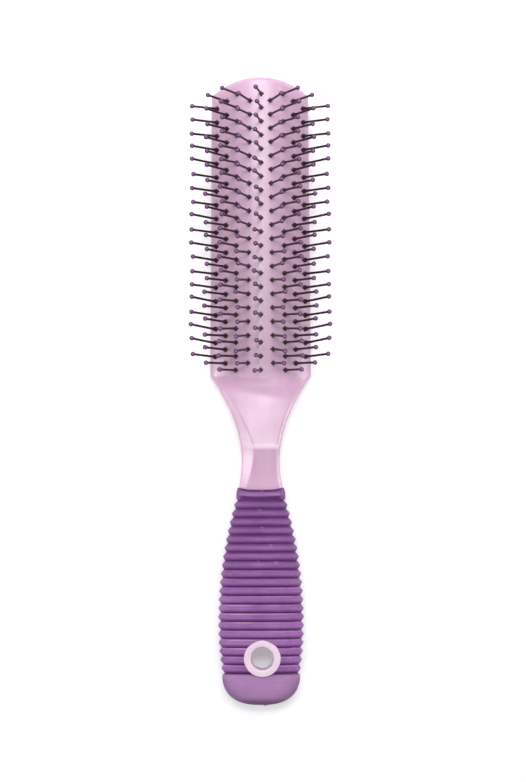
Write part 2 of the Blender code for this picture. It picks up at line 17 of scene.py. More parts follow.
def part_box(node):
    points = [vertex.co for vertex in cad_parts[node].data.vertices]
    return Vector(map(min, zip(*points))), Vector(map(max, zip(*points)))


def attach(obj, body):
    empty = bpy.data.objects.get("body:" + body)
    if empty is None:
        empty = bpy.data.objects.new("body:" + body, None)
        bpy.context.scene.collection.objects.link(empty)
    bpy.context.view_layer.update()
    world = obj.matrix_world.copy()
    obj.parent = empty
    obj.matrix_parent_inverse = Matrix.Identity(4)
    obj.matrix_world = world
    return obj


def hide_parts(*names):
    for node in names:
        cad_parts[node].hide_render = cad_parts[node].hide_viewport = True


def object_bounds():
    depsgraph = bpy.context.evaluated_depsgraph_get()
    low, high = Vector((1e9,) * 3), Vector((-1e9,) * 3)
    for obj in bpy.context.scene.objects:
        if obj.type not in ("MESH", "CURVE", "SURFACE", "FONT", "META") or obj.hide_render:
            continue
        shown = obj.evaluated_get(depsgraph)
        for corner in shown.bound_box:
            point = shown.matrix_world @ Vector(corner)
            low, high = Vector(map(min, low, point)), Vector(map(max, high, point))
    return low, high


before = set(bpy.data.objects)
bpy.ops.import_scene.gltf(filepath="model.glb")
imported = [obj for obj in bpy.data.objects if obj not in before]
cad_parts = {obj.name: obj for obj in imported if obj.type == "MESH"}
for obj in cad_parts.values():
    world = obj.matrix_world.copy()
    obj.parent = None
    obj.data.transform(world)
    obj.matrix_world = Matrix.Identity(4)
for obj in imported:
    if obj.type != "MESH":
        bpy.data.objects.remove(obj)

bl_info = {
    "name": "Styling brush",
    "version": (1, 0, 0),
    "blender": (4, 5, 0),
    "location": "3D View > Sidebar > Styling brush",
    "description": "Builds the fine surfaces, finishes and studio of a half-round styling brush",
    "category": "Object",
}

FRAME_LOW, FRAME_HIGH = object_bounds()
BODY = "root"

# Pin columns, from the middle one outwards
COLUMN_TIP_SHARES = (0.026, 0.206, 0.466, 0.679, 0.882)  # of the half width, at the tip
COLUMN_NECK_SHARES = (0.0, 0.255, 0.493, 0.696, 0.890)  # of the half width, at the neck
COLUMN_OFFSET_SHARES = (0.0, 0.5, 0.0, 0.5, 1.0)  # of the pitch, before the first pin
COLUMN_PINS_LEFT_OUT = (0, 0, 0, 0, 1)
COLUMN_LEANS = (-7.5, 16.0, 22.5, 29.0, 35.5)  # degrees
TIP_FORWARD_SHARES = (0.027, 0.040, 0.013, 0.027, -0.010)  # of the reach, at the tip
NECK_FORWARD_SHARES = (-0.047, -0.079, -0.045, 0.0, 0.055)  # of the reach, at the neck

# Shapes of the curves
RIB_PLACE_SHARES = (0.18, 0.5, 0.82)
BEVEL_PLACE_SHARES = (0.0, 0.12, 0.28, 0.42, 0.54, 0.66, 0.87, 1.0)
BROAD_BEVEL_SHARES = (0.26, 0.36, 0.50, 0.70, 0.85, 0.97, 0.74, 0.57)
FILLET_SHARE = 0.48  # of a side, the most that a rounding takes
LEAST_SIDE, LEAST_OPENING = 1e-9, 0.05  # in metres and radians, of a corner that is rounded
SETTLE_POWER = 6.5
SHOULDER_POWER = 1.84
GRIP_TAPER_POWER = 2.1
GRIP_SECTION_POWER = 2.8
LIP_SECTION_POWER = 6.0
CAP_POWER = 2.5
SIDE_STARTS, SIDE_SPAN = 0.72, 0.22  # of the half width, where the grip's front turns to its side
CREASE_MARGIN = 1.2
FOOT_POWER = 1.7
BALL_END = 1e-6  # in metres, half width of the last ring of a ball
SHAFT_WAIST = 0.1
PIN_BEND_POWER = 1.2
FRONT_DEPTH_SHARE = 0.70
FRONT_FLANK_SHARE = 0.06
FRONT_RIB_POWER = 2.3
SIDE_RIB_POWER = 1.15
CAP_GROOVE_SPAN = 0.30
RIB_TURNS = (0.04, 0.09, 0.15, 0.22, 0.34, 0.50, 0.66, 0.78, 0.85, 0.91, 0.96, 1.0)
COLLAR_PLACE_SHARES = (0.0, 0.06, 0.20, 0.36, 0.55, 0.80, 1.0)
COLLAR_FRONT_SHARES = (0.76, 0.78, 0.50, 0.24, 0.20, 0.28, 0.70)
COLLAR_SIDE_SHARES = (0.70, 0.45, 0.32, 0.30, 0.34, 0.48, 0.78)
GATE_FULL = 0.4  # of the moulding mark's half width, its level middle
EYELET_ROUND_SHARES = (1.6, 1.0, 0.3, 0.2, 0.4, 0.8)  # of the edge radius, round the profile

# Painted light and shade, most of it kept on the points of the meshes
RIDGE_SHARE, RIDGE_SPAN, RIDGE_FULL = 0.2, 0.9, 0.25  # of the ridge's radius, past its middle
RIDGE_SUNK, RIDGE_SUNK_SPAN = 1.9, 0.2  # how far below its height the ridge still gets its painted highlight
LIP_RIBS_START, LIP_RIBS_SPAN = 0.45, 0.35  # of the grip, where its ribs turn into the lip's kind
GROOVE_AT_LIP, UPPER_EDGE_AT_LIP = 0.85, 0.3  # how strong they still are there
BEFORE_GROOVE, BEFORE_GROOVE_SPAN = 0.55, 0.45  # of a rib, its flank before a groove, darkened with painted shade
AFTER_GROOVE, AFTER_GROOVE_AT_LIP = 0.08, 0.48  # of a rib, its flank after a groove, darkened with painted shade
LAST_GROOVE_SPAN = 0.12  # of a rib, how far the painted shade of the outer grooves reaches into cap and collar
CAP_START_SPAN = 0.3  # of a rib, where the end cap's colour, painted lighter than the ribs, starts
LOWER_GRIP_LIT_FULL = 0.15  # of the ribs' length, where the painted light on the lower grip is still full
UPPER_EDGE_SHARE, UPPER_EDGE_SPAN, UPPER_EDGE_FULL = 0.12, 0.08, 0.2  # of a rib, its painted highlight along the upper edge
SHADE_LINE_SHARE, SHADE_LINE_SPAN, SHADE_LINE_DEPTH = 0.34, 0.18, 0.16  # of a rib, the faint line of painted shade below that edge
RECESS_DEPTH, RECESS_SHARE, RECESS_SPAN = 0.85, 0.30, 0.07  # of the collar, the painted shade in its recess
BAND_DEPTH, BAND_SHARE, BAND_SPAN, BAND_FULL = 0.5, 0.44, 0.10, 0.5  # its band with a painted highlight
LIP_DEPTH, LIP_SHARE, LIP_SPAN = 0.95, 0.21, 0.08  # of the collar, the painted shade under the lip
COLLAR_LIFT = 0.16  # of the collar, how far its lines rise towards the sides
COLLAR_FRONT, COLLAR_FRONT_SPAN = 0.95, 0.30  # of the half width, where its front ends
TAIL_DEPTH, TAIL_SHARE = 0.85, 0.28  # of the cap, the painted shade at its end
CAP_EDGE_DEPTH, CAP_EDGE_STARTS, CAP_EDGE_SPAN = 0.6, 0.1, 0.6  # of its thickness, where it turns, with painted shade
# How strong the painted highlight is along the end cap's rim next to the ribs
CAP_RIM_DEPTH = 0.7
BALL_HIGHLIGHT_STARTS, BALL_HIGHLIGHT_SPAN = 0.62, 0.34  # of a ball's radius, where the painted highlight on its top starts and spreads
LILAC_PAINTED_SHADE = (  # places along the brush in metres, and how much painted shade darkens the lilac there
    (-0.045, 0.45), (-0.034, 0.50), (-0.028, 0.75), (-0.015, 0.96), (-0.006, 0.60), (0.003, 0.02),
    (0.0065, 0.50), (0.012, 0.80), (0.024, 0.62), (0.036, 0.46), (0.050, 0.18), (0.075, 0.0),
    (0.096, 0.0), (0.108, 0.25),
)

# Fineness of the meshes
DOME_STEPS = 44
CORNER_STEPS = 14
CROWN_STEPS = 44
FILLET_STEPS = 6
COVER_EDGE_STEPS = 4
HEAD_ROWS = 48
NECK_ROWS = 110
TANG_ROWS = 8
CAP_ROWS = 26
COLLAR_ROWS = 18
LIP_ROWS = 6
BORE_ROWS = 8
BALL_ROWS = 9
FOOT_ROWS = 5
SHAFT_ROWS = 6
GRIP_SIDES = 144
LATHE_SIDES = 96
PIN_SIDES = 16
WELD = 1e-7
SHARP_ANGLE = radians(38)
PIN_SEED = 11

# Breadth, height, place, aim and spread in degrees of each lamp, by its name in BrushStudio
MIDDLE, GRIP_TOP = (0.0, 0.0, 0.0), (0.0, -0.05, 0.01)
LAMPS = {
    "key": (0.95, 0.45, (0.0, 0.40, 1.30), MIDDLE, 180.0),
    "core": (0.06, 0.05, (0.02, 0.295, 1.25), MIDDLE, 180.0),
    "sheen": (0.42, 0.15, (0.0, 0.245, 1.27), MIDDLE, 180.0),
    "tip": (0.36, 0.14, (0.0, 0.25, 0.17), (0.0, 0.06, 0.0), 180.0),
    "palm": (0.40, 0.20, (0.0, -0.45, 0.40), (0.0, -0.05, 0.0), 180.0),
    "left": (0.14, 0.14, (-0.26, -0.05, 0.10), GRIP_TOP, 32.0),
    "right": (0.14, 0.14, (0.26, -0.05, 0.10), GRIP_TOP, 32.0),
}
FLOOR_HALF, FLOOR_CELLS = 1.6, 24
SENSOR_WIDTH = 36.0  # millimetres
CLIP_START, CLIP_END = 0.01, 10.0


def size(name, default, description):
    """A length that a user can change."""
    return FloatProperty(
        name=name, description=description, default=default, min=0.0, precision=5, unit="LENGTH"
    )


def colour(name, default, description):
    return FloatVectorProperty(
        name=name, description=description, default=default, size=4, min=0.0, max=1.0,
        subtype="COLOR",
    )


def share(name, default, description):
    return FloatProperty(
        name=name, description=description, default=default, min=0.0, max=1.0, subtype="FACTOR"
    )


def angle(name, degrees, description):
    return FloatProperty(
        name=name, description=description, default=radians(degrees), subtype="ANGLE"
    )


def number(name, default, description, unit="NONE"):
    return FloatProperty(name=name, description=description, default=default, unit=unit)


class BrushHeadSizes(bpy.types.PropertyGroup):
    """Sizes of the head and its back cover."""

    dome_length: size("Dome length", 0.0061, "Tip of the head to its straight sides")
    side_length: size("Side length", 0.0997, "Straight sides of the head")
    tip_width: size("Width at the tip", 0.0343, "Width where the straight sides start")
    neck_width: size("Width at the neck", 0.0358, "Width where the neck starts")
    thickness: size("Thickness", 0.0125, "Rest plane to the top of the crown")
    crown_radius: size("Crown radius", 0.0285, "Radius of the half-round front")
    corner_round: size("Corner radius", 0.0025, "Corners between dome and sides, in plan")
    edge_round: size("Edge radius", 0.0012, "Edge between crown and side wall")
    back_round: size("Back edge radius", 0.0006, "Edge between side wall and rim")
    wall: size("Wall", 0.0020, "Wall of the hollow head")
    rim_width: size("Rim width", 0.0009, "Rim round the back cover")
    rim_rise: size("Rim rise", 0.0003, "Rim above the rest plane")
    cover_thickness: size("Cover thickness", 0.0018, "Plate that closes the back")
    cover_edge: size("Cover edge radius", 0.0004, "Rounded edge of the plate")
    cover_past_shoulder: size("Cover past shoulder", 0.0008, "Reach of the plate past the sides")
    cover_corner: size("Cover corner radius", 0.0030, "Corners of the plate at the neck")
    cavity_short: size("Cavity end", 0.0006, "Solid left between cavity and shoulder")
    rib_thickness: size("Rib thickness", 0.0014, "Cross ribs of the plate")
    fit_gap: size("Fit gap", 0.0003, "Gap between pieces that fit together")


class BrushPinSizes(bpy.types.PropertyGroup):
    """Sizes of the pins and their strips."""

    pitch: size("Pitch", 0.0049, "Pin to pin along a column")
    first_row: size("First row", 0.00405, "Inside of the tip's wall to the first pin")
    last_row: size("Last row", 0.0015, "Least distance from the last pin to the shoulder")
    reach: size("Reach", 0.0143, "Front of the head to the middle of the ball")
    shaft_width: size("Shaft width", 0.00088, "Diameter of the shaft")
    ball_width: size("Ball width", 0.00168, "Diameter of the ball")
    foot_width: size("Foot width", 0.0018, "Corner to corner across the square foot")
    foot_height: size("Foot height", 0.0018, "Height of the pyramid at the foot")
    root_width: size("Root width", 0.0010, "Width where the pin leaves its rail")
    rail_width: size("Rail width", 0.0012, "Bar that carries a column")
    rail_height: size("Rail height", 0.0014, "Height of the bar")
    rail_end: size("Rail end", 0.0007, "Bar past its first and last pin")
    scatter: size("Scatter", 0.00045, "How far a tip may stand from its ideal place")
    hole_gap: size("Hole gap", 0.00010, "Gap round a foot in the front of the head")


class BrushNeckSizes(bpy.types.PropertyGroup):
    """Sizes of the neck between head and grip."""

    length: size("Length", 0.0396, "Shoulder to the lip of the grip")
    waist_width: size("Waist width", 0.0134, "Narrowest width")
    waist_from_head: size("Waist place", 0.0297, "Shoulder to the waist")
    end_width: size("End width", 0.0154, "Width at the grip")
    crown_fade: size("Crown fade", 0.0140, "Length over which the crown flattens out")
    valley_height: size("Valley height", 0.0100, "Height of the facet at its low end")
    valley_from_head: size("Valley place", 0.0085, "Shoulder to the low end of the facet")
    ridge_height: size("Ridge height", 0.0122, "Height of the cross ridge")
    ridge_from_head: size("Ridge place", 0.0251, "Shoulder to the cross ridge")
    ridge_round: size("Ridge radius", 0.0011, "Half the rounded length of the ridge")
    end_height: size("End height", 0.0106, "Height of the front at the grip")
    bevel_slope: angle("Bevel slope", 35.0, "How steeply the bevels fall away")
    back_height: size("Back height", 0.0022, "Height of the back at the grip")
    back_round: size("Back edge radius", 0.0018, "Edge between side wall and back at the grip")
    broad_bevel: size("Broad bevel", 0.0047, "Bevel on the left of the facet")
    slim_bevel: size("Slim bevel", 0.0013, "Bevel on the right of the facet")
    valley_skew: number("Valley skew", 30.0, "Later start of the valley on the right, per metre")
    bowl_radius: size("Bowl radius", 0.0600, "Radius across the facet at its low end")
    crease_round: size("Crease radius", 0.0014, "Rounding of the creases beside the facet")
    tang_blend: size("Tang blend", 0.0060, "Length over which the neck becomes the tang")


class BrushGripSizes(bpy.types.PropertyGroup):
    """Sizes of the ribbed sleeve."""

    length: size("Length", 0.0768, "Lip to the end of the grip")
    width: size("Width", 0.0304, "Widest place over the ribs")
    cap_width: size("Cap width", 0.0276, "Width where the end cap starts")
    thickness: size("Thickness", 0.0170, "Thickest place over the ribs")
    cap_thickness: size("Cap thickness", 0.0150, "Thickness where the end cap starts")
    side_overhang: size("Side overhang", 0.0013, "Lip past the neck's sides")
    front_overhang: size("Front overhang", 0.0017, "Lip past the neck's front")
    widest_from_end: size("Widest place", 0.0283, "End of the grip to its widest place")
    cap_length: size("Cap length", 0.0113, "Smooth end of the sleeve")
    wall: size("Wall", 0.0010, "Rubber under the grooves")
    rib_pitch: size("Rib pitch", 0.00304, "Groove to groove")
    rib_depth: size("Rib depth", 0.0010, "Crest to groove")
    collar_length: size("Collar length", 0.0046, "Lip to the first groove")
    lip_dip: size("Lip dip", 0.0009, "How far the middle of the lip is drawn down")
    lip_round: size("Lip radius", 0.0004, "Rounded edge of the lip")
    gate_width: size("Gate mark width", 0.0018, "Moulding mark at the end")
    gate_height: size("Gate mark height", 0.0003, "How far the moulding mark stands out")
    gate_place: size("Gate mark place", 0.0011, "Moulding mark to the right of the middle")


class BrushEyeletSizes(bpy.types.PropertyGroup):
    """Sizes of the hanging eyelet."""

    from_end: size("Place", 0.0167, "End of the grip to the middle of the eyelet")
    aside: size("Aside", 0.0004, "Middle of the eyelet to the right of the grip's middle")
    bore: size("Bore", 0.0080, "Hole that the brush hangs from")
    wall: size("Wall", 0.00115, "Wall of the barrel")
    rim: size("Rim", 0.0013, "Flange past the barrel")
    flange_thickness: size("Flange thickness", 0.0013, "Thickness of the flange")
    proud: size("Flange height", 0.0003, "Flange above the ribs")
    edge_round: size("Edge radius", 0.0005, "Rounded edges of the flange")
    seat_gap: size("Seat gap", 0.00008, "Gap round the flange in its seat")
    back_inset: size("Back inset", 0.0004, "Barrel's end above the rest plane")
    past: size("Tang past eyelet", 0.0024, "Tang past the hole for the barrel")


class BrushFinishes(bpy.types.PropertyGroup):
    """Colours of the four plastics, and how much they vary."""

    lilac: colour("Lilac", (0.668, 0.402, 0.588, 1.0), "Plastic of head, neck and cover")
    lilac_light: colour("Light lilac", (0.738, 0.477, 0.653, 1.0), "Lighter clouds in the lilac")
    # Lilac of rubbed edges, and also the painted highlight along the neck's ridge
    lilac_wear_and_highlight: colour("Rubbed lilac", (0.860, 0.690, 0.800, 1.0), "Lilac along rubbed edges")
    purple: colour("Purple", (0.240, 0.079, 0.307, 1.0), "Rubber of the grip")
    purple_light: colour("Light purple", (0.335, 0.138, 0.400, 1.0), "Rubbed crests of the grip")
    # The end cap's rubber, painted lighter than the ribs as if lit from above
    cap: colour("Cap", (0.374, 0.191, 0.403, 1.0), "Rubber of the end cap")
    # Dust on the rubber, and also the painted highlight on the ribs' upper edges and the cap's rim
    dust_and_highlight: colour("Dust", (0.600, 0.400, 0.540, 1.0), "Rubbed and dusty rubber")
    # Painted shade in the grooves, on the rib flanks, in the collar and at the end cap
    purple_painted_shade: colour("Deep purple", (0.060, 0.004, 0.084, 1.0), "Rubber down in the grooves")
    nylon: colour("Nylon", (0.016, 0.002, 0.008, 1.0), "Shafts and feet of the pins")
    ball: colour("Ball", (0.062, 0.015, 0.080, 1.0), "Balls of the pins")
    # Painted highlight on the tops of the balls
    painted_ball_highlight: colour("Polish", (0.360, 0.170, 0.350, 1.0), "Balls where they are rubbed most")
    eyelet: colour("Eyelet", (0.742, 0.572, 0.698, 1.0), "Plastic of the eyelet")
    floor: colour("Floor", (0.86, 0.86, 0.86, 1.0), "Floor and backdrop")
    wear: share("Wear", 0.35, "How far edges and crests are rubbed lighter")


class BrushStudio(bpy.types.PropertyGroup):
    """Camera and lamps."""

    distance: size("Camera distance", 1.0685, "Camera to the middle of the brush")
    pitch: angle("Camera pitch", 2.3, "How far the camera stands towards the grip")
    roll: angle("Camera roll", -0.12, "Turn of the picture")
    lens: number("Lens", 137.8, "Focal length in millimetres")
    aim_x: number("Aim across", 0.00085, "Place aimed at", "LENGTH")
    aim_y: number("Aim along", 0.0001, "Place aimed at", "LENGTH")
    fill: number("Fill", 0.28, "Strength of the light from all round")
    key: number("Key", 4.68, "Radiance of the lamp over the head")
    core: number("Core", 24.0, "Radiance of the key's bright middle")
    sheen: number("Sheen", 8.2, "Radiance of the key's lower middle")
    tip: number("Tip", 2.7, "Radiance of the lamp past the head")
    palm: number("Palm", 2.2, "Radiance of the lamp past the grip")
    left: number("Left", 0.40, "Strength of the beam left of the neck")
    right: number("Right", 0.38, "Strength of the beam right of the neck")


class StylingBrush(bpy.types.PropertyGroup):
    """All that can be set on the brush."""

    head: PointerProperty(type=BrushHeadSizes)
    pins: PointerProperty(type=BrushPinSizes)
    neck: PointerProperty(type=BrushNeckSizes)
    grip: PointerProperty(type=BrushGripSizes)
    eyelet: PointerProperty(type=BrushEyeletSizes)
    finishes: PointerProperty(type=BrushFinishes)
    studio: PointerProperty(type=BrushStudio)


def mix(a, b, share_of_b):
    return a + (b - a) * share_of_b


def smooth(value):
    """Ease a share that is held between 0 and 1."""
    value = min(max(value, 0.0), 1.0)
    return value * value * (3 - 2 * value)


def near(away, span, full=0.0):
    """Share of nearness: 1 up to a share of the span, and 0 from a whole span past that."""
    return smooth(1 + full - abs(away) / span)


def whole(value, slack=1e-4):
    """Whole steps in a value, with slack for rounding."""
    return int(value + slack)


def turns(count):
    """Angles all the way round, evenly apart."""
    return [2 * pi * step / count for step in range(count)]


def steps(count, first=0):
    """Shares up to 1, evenly apart, from 0 or a later step on."""
    return [step / count for step in range(first, count + 1)]


def settle(value):
    """Ease a share that starts to move soon and comes to rest over a long stretch."""
    value = min(max(value, 0.0), 1.0)
    return 1 - (1 - value) ** SETTLE_POWER * (1 + SETTLE_POWER * value)


def read_table(places, values, place):
    """Value at a place in a table, on a smooth curve through its points."""
    last = len(places) - 1
    slopes = []
    for i in range(last + 1):
        low, high = max(i - 1, 0), min(i + 1, last)
        slopes.append((values[high] - values[low]) / (places[high] - places[low]))
    for i in range(last):
        if place <= places[i + 1]:
            span = places[i + 1] - places[i]
            t = max(place - places[i], 0.0) / span
            rise, fall = t * (1 - t) * (1 - t), t * t * (1 - t)
            bend = span * (slopes[i] * rise - slopes[i + 1] * fall)
            return mix(values[i], values[i + 1], smooth(t)) + bend
    return values[last]


class Brush:
    """The settings of the brush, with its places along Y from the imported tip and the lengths."""

    def __init__(self, settings):
        self.head, self.pins, self.neck = settings.head, settings.pins, settings.neck
        self.grip, self.eyelet = settings.grip, settings.eyelet
        self.finishes, self.studio = settings.finishes, settings.studio
        self.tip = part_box("body")[1].y
        self.dome = self.tip - self.head.dome_length
        self.shoulder = self.dome - self.head.side_length
        self.end = self.shoulder - self.neck.length - self.grip.length
        self.eye = self.end + self.eyelet.from_end


def finish_shape(name, shape):
    """Weld the shape, drop what has no area, face it outwards and hand it over as a mesh."""
    bmesh.ops.remove_doubles(shape, verts=shape.verts, dist=WELD)
    bmesh.ops.dissolve_degenerate(shape, edges=shape.edges, dist=WELD)
    bmesh.ops.recalc_face_normals(shape, faces=shape.faces)
    mesh = bpy.data.meshes.new(name)
    shape.to_mesh(mesh)
    shape.free()
    return mesh


def add_loft(shape, rings, close_start=True, close_end=True):
    """Skin a row of rings with as many points each."""
    rows = [[shape.verts.new(point) for point in ring] for ring in rings]
    for first, second in zip(rows, rows[1:]):
        for i in range(len(first)):
            j = (i + 1) % len(first)
            shape.faces.new((first[i], first[j], second[j], second[i]))
    if close_start:
        shape.faces.new(rows[0])
    if close_end:
        shape.faces.new(rows[-1])


def loft_mesh(name, rings, close_start=True):
    shape = bmesh.new()
    add_loft(shape, rings, close_start)
    return finish_shape(name, shape)


def add_piece(name, mesh, material, node):
    """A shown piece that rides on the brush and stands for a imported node."""
    piece = bpy.data.objects.new(name, mesh)
    bpy.context.scene.collection.objects.link(piece)
    mesh.materials.clear()
    mesh.materials.append(material)
    mesh.shade_smooth()
    mesh.set_sharp_from_angle(angle=SHARP_ANGLE)
    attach(piece, BODY)
    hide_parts(node)
    return piece


def boolean(mesh, tools, operation):
    """The mesh after each tool mesh was cut from it or joined to it."""
    item = bpy.data.objects.new("worked", mesh)
    bpy.context.scene.collection.objects.link(item)
    helpers = []
    for tool in tools:
        helper = bpy.data.objects.new("tool", tool)
        bpy.context.scene.collection.objects.link(helper)
        modifier = item.modifiers.new("tool", "BOOLEAN")
        modifier.operation = operation
        modifier.object = helper
        helpers.append(helper)
    bpy.context.view_layer.update()
    worked = item.evaluated_get(bpy.context.evaluated_depsgraph_get())
    made = bpy.data.meshes.new_from_object(worked)
    for helper in helpers + [item]:
        used = helper.data
        bpy.data.objects.remove(helper, do_unlink=True)
        bpy.data.meshes.remove(used)
    return made


def add_shares(mesh, names, shares):
    """Keep named shares on each point of a mesh, worked out from its place."""
    for name in names:
        mesh.attributes.new(name, "FLOAT", "POINT")
    layers = [mesh.attributes[name].data for name in names]
    for vertex in mesh.vertices:
        for layer, value in zip(layers, shares(vertex.co)):
            layer[vertex.index].value = value


def outline_mesh(name, outlines):
    """A plate from outlines at heights, each with as many points."""
    return loft_mesh(name, [[Vector((x, y, z)) for x, y in outline] for outline, z in outlines])


def cylinder_mesh(radius, low, high, x, y):
    rim = [(x + radius * cos(turn), y + radius * sin(turn)) for turn in turns(LATHE_SIDES)]
    return outline_mesh("cylinder", [(rim, low), (rim, high)])


def fillet(before, corner, after, radius):
    """Points that round a corner, held inside the two sides that meet there."""
    a, b = before - corner, after - corner
    if min(a.length, b.length) < LEAST_SIDE:
        return [corner.copy() for _ in range(FILLET_STEPS + 1)]
    opening = max(a.angle(b), LEAST_OPENING)
    reach = min(radius / tan(opening / 2), a.length * FILLET_SHARE, b.length * FILLET_SHARE)
    start, end = corner + a.normalized() * reach, corner + b.normalized() * reach
    return [start.lerp(corner, t).lerp(corner.lerp(end, t), t) for t in steps(FILLET_STEPS)]


def crown_height(head, x, inward=0.0):
    """Height of the half-round front over a place across the head, or of a surface inside it."""
    radius = head.crown_radius - inward
    return head.thickness - head.crown_radius + sqrt(radius * radius - x * x)


def head_half_width(brush, y):
    head = brush.head
    return mix(head.neck_width, head.tip_width, (y - brush.shoulder) / head.side_length) / 2


def dome_stations(brush):
    """Outline points of the right half of the dome with their outward turns, tip first."""
    head = brush.head
    half = head.tip_width / 2
    radius = (half * half + head.dome_length * head.dome_length) / (2 * head.dome_length)
    centre_y = brush.tip - radius
    corner_x = half - head.corner_round
    meeting = asin(corner_x / (radius - head.corner_round))
    corner_y = centre_y + (radius - head.corner_round) * cos(meeting)
    dome = [meeting * t for t in steps(DOME_STEPS)[:-1]]
    corner = [mix(meeting, pi / 2, t) for t in steps(CORNER_STEPS)]
    stations = [(radius * sin(turn), centre_y + radius * cos(turn), turn) for turn in dome]
    for turn in corner:
        x = corner_x + head.corner_round * sin(turn)
        stations.append((x, corner_y + head.corner_round * cos(turn), turn))
    return stations


def plan_outline(brush, inset, past_shoulder, corner):
    """Right half of the head's back in plan, set in, from the tip to the axis at the neck."""
    side = [
        (x - sin(turn) * inset, y - cos(turn) * inset) for x, y, turn in dome_stations(brush)
    ]
    end_y = brush.shoulder - past_shoulder
    half = head_half_width(brush, end_y + corner) - inset
    for t in steps(CORNER_STEPS):
        x = half - corner + corner * cos(pi / 2 * t)
        side.append((x, end_y + corner - corner * sin(pi / 2 * t)))
    return side


def whole_outline(side):
    return side + [(-x, y) for x, y in reversed(side[1:])]


def round_off(path):
    """Ring through points, each with the radius that rounds it off."""
    ring = []
    for i, (point, radius) in enumerate(path):
        if radius > 0.0:
            ring += fillet(path[i - 1][0], point, path[(i + 1) % len(path)][0], radius)
        else:
            ring.append(point)
    return ring


def section_ring(right, front, left):
    """Ring up the right side, across the front and down the left side. The sides are lists of
    corners with their radii, from the back up."""
    return round_off(right + [(point, 0.0) for point in front] + left[::-1])


def front_places(left, right, margin):
    """Places across the front between two creases, clear of their rounding."""
    room = right - left
    start = min(margin, room / 4)
    return [mix(right - start, left + start, t) for t in steps(CROWN_STEPS)]


def head_ring(brush, x, y, turn):
    """Section of the head that fans out round the dome with the outline's normal."""
    head = brush.head
    across, along = sin(turn), cos(turn)
    inner = x - across * head.edge_round
    inner_y = y - along * head.edge_round
    deep = 3 * head.back_round
    sides = []
    for sign in (1, -1):
        sides.append([
            (Vector((sign * (x - across * deep), y - along * deep, head.rim_rise)), 0.0),
            (Vector((sign * x, y, head.rim_rise)), head.back_round),
            (Vector((sign * x, y, crown_height(head, inner) - head.edge_round)), head.edge_round),
            (Vector((sign * inner, inner_y, crown_height(head, inner))), head.edge_round),
        ])
    front = []
    for place in front_places(-inner, inner, CREASE_MARGIN * head.edge_round):
        front.append(Vector((place, inner_y, crown_height(head, place))))
    return section_ring(sides[0], front, sides[1])


def neck_half_width(brush, distance):
    """Half width of the neck at a distance from the head's end."""
    head, neck = brush.head, brush.neck
    if distance < neck.waist_from_head:
        taper = (1 - distance / neck.waist_from_head) ** SHOULDER_POWER
        return mix(neck.waist_width, head.neck_width, taper) / 2
    spread = (distance - neck.waist_from_head) / (neck.length - neck.waist_from_head)
    return mix(neck.waist_width, neck.end_width, spread * spread) / 2


def neck_facet(neck, distance):
    """Height of the front facet: it climbs to the ridge, rounds over and falls to the grip."""
    rise, run = neck.ridge_height - neck.valley_height, neck.ridge_from_head - neck.valley_from_head
    climb = rise / run
    fall = (neck.ridge_height - neck.end_height) / (neck.length - neck.ridge_from_head)
    past = distance - neck.ridge_from_head
    if abs(past) < neck.ridge_round:
        bend = (climb + fall) * (past + neck.ridge_round) ** 2 / (4 * neck.ridge_round)
        return neck.ridge_height + climb * past - bend
    return neck.ridge_height + (climb * past if past < 0 else -fall * past)


def neck_front_height(brush, x, distance):
    """The crown fades into the facet, sooner on the left. The facet flattens up to the ridge."""
    neck = brush.neck
    fade = settle(distance / (neck.crown_fade * (1 + neck.valley_skew * x)))
    past = distance - neck.valley_from_head
    flat = smooth(past / (neck.ridge_from_head - neck.valley_from_head))
    facet = neck_facet(neck, distance) - (1 - flat) * x * x / neck.bowl_radius / 2
    return mix(crown_height(brush.head, x), facet, fade)


def neck_ring(brush, distance):
    """Section of the neck, with a broad bevel on the left and a slim one on the right."""
    head, neck = brush.head, brush.neck
    y = brush.shoulder - distance
    run = distance / neck.length
    half = neck_half_width(brush, distance)
    fade = settle(distance / neck.crown_fade)
    broad = neck.broad_bevel * read_table(BEVEL_PLACE_SHARES, BROAD_BEVEL_SHARES, run)
    slim = mix(head.edge_round, neck.slim_bevel, fade)
    left, right = broad - half, half - slim
    edge = crown_height(head, head_half_width(brush, brush.shoulder) - head.edge_round)
    back = mix(head.rim_rise, neck.back_height, run)
    back_round = mix(head.back_round, neck.back_round, run)
    crease = mix(head.edge_round, neck.crease_round, fade)
    sides = []
    for outer, inner in ((half, right), (-half, left)):
        inward = -3 * back_round if outer > 0 else 3 * back_round
        top = neck_front_height(brush, inner, distance)
        fallen = top - abs(outer - inner) * tan(neck.bevel_slope)
        wall_top = mix(edge - head.edge_round, fallen, fade)
        sides.append([
            (Vector((outer + inward, y, back)), 0.0),
            (Vector((outer, y, back)), back_round),
            (Vector((outer, y, wall_top)), crease),
            (Vector((inner, y, top)), crease),
        ])
    front = []
    for place in front_places(left, right, CREASE_MARGIN * head.edge_round):
        front.append(Vector((place, y, neck_front_height(brush, place, distance))))
    return section_ring(sides[0], front, sides[1])


def grip_half(brush, from_end, full, entry, cap):
    """Half width or half thickness of the grip over its ribs, by distance from its end."""
    grip = brush.grip
    ribs_top = grip.length - grip.collar_length
    if from_end > grip.widest_from_end:
        run = min((from_end - grip.widest_from_end) / (ribs_top - grip.widest_from_end), 1.0)
        return mix(full, entry, run**GRIP_TAPER_POWER) / 2
    if from_end > grip.cap_length:
        run = (grip.widest_from_end - from_end) / (grip.widest_from_end - grip.cap_length)
        return mix(full, cap, run * run) / 2
    run = 1 - from_end / grip.cap_length
    return cap / 2 * (1 - run**CAP_POWER) ** (1 / CAP_POWER)


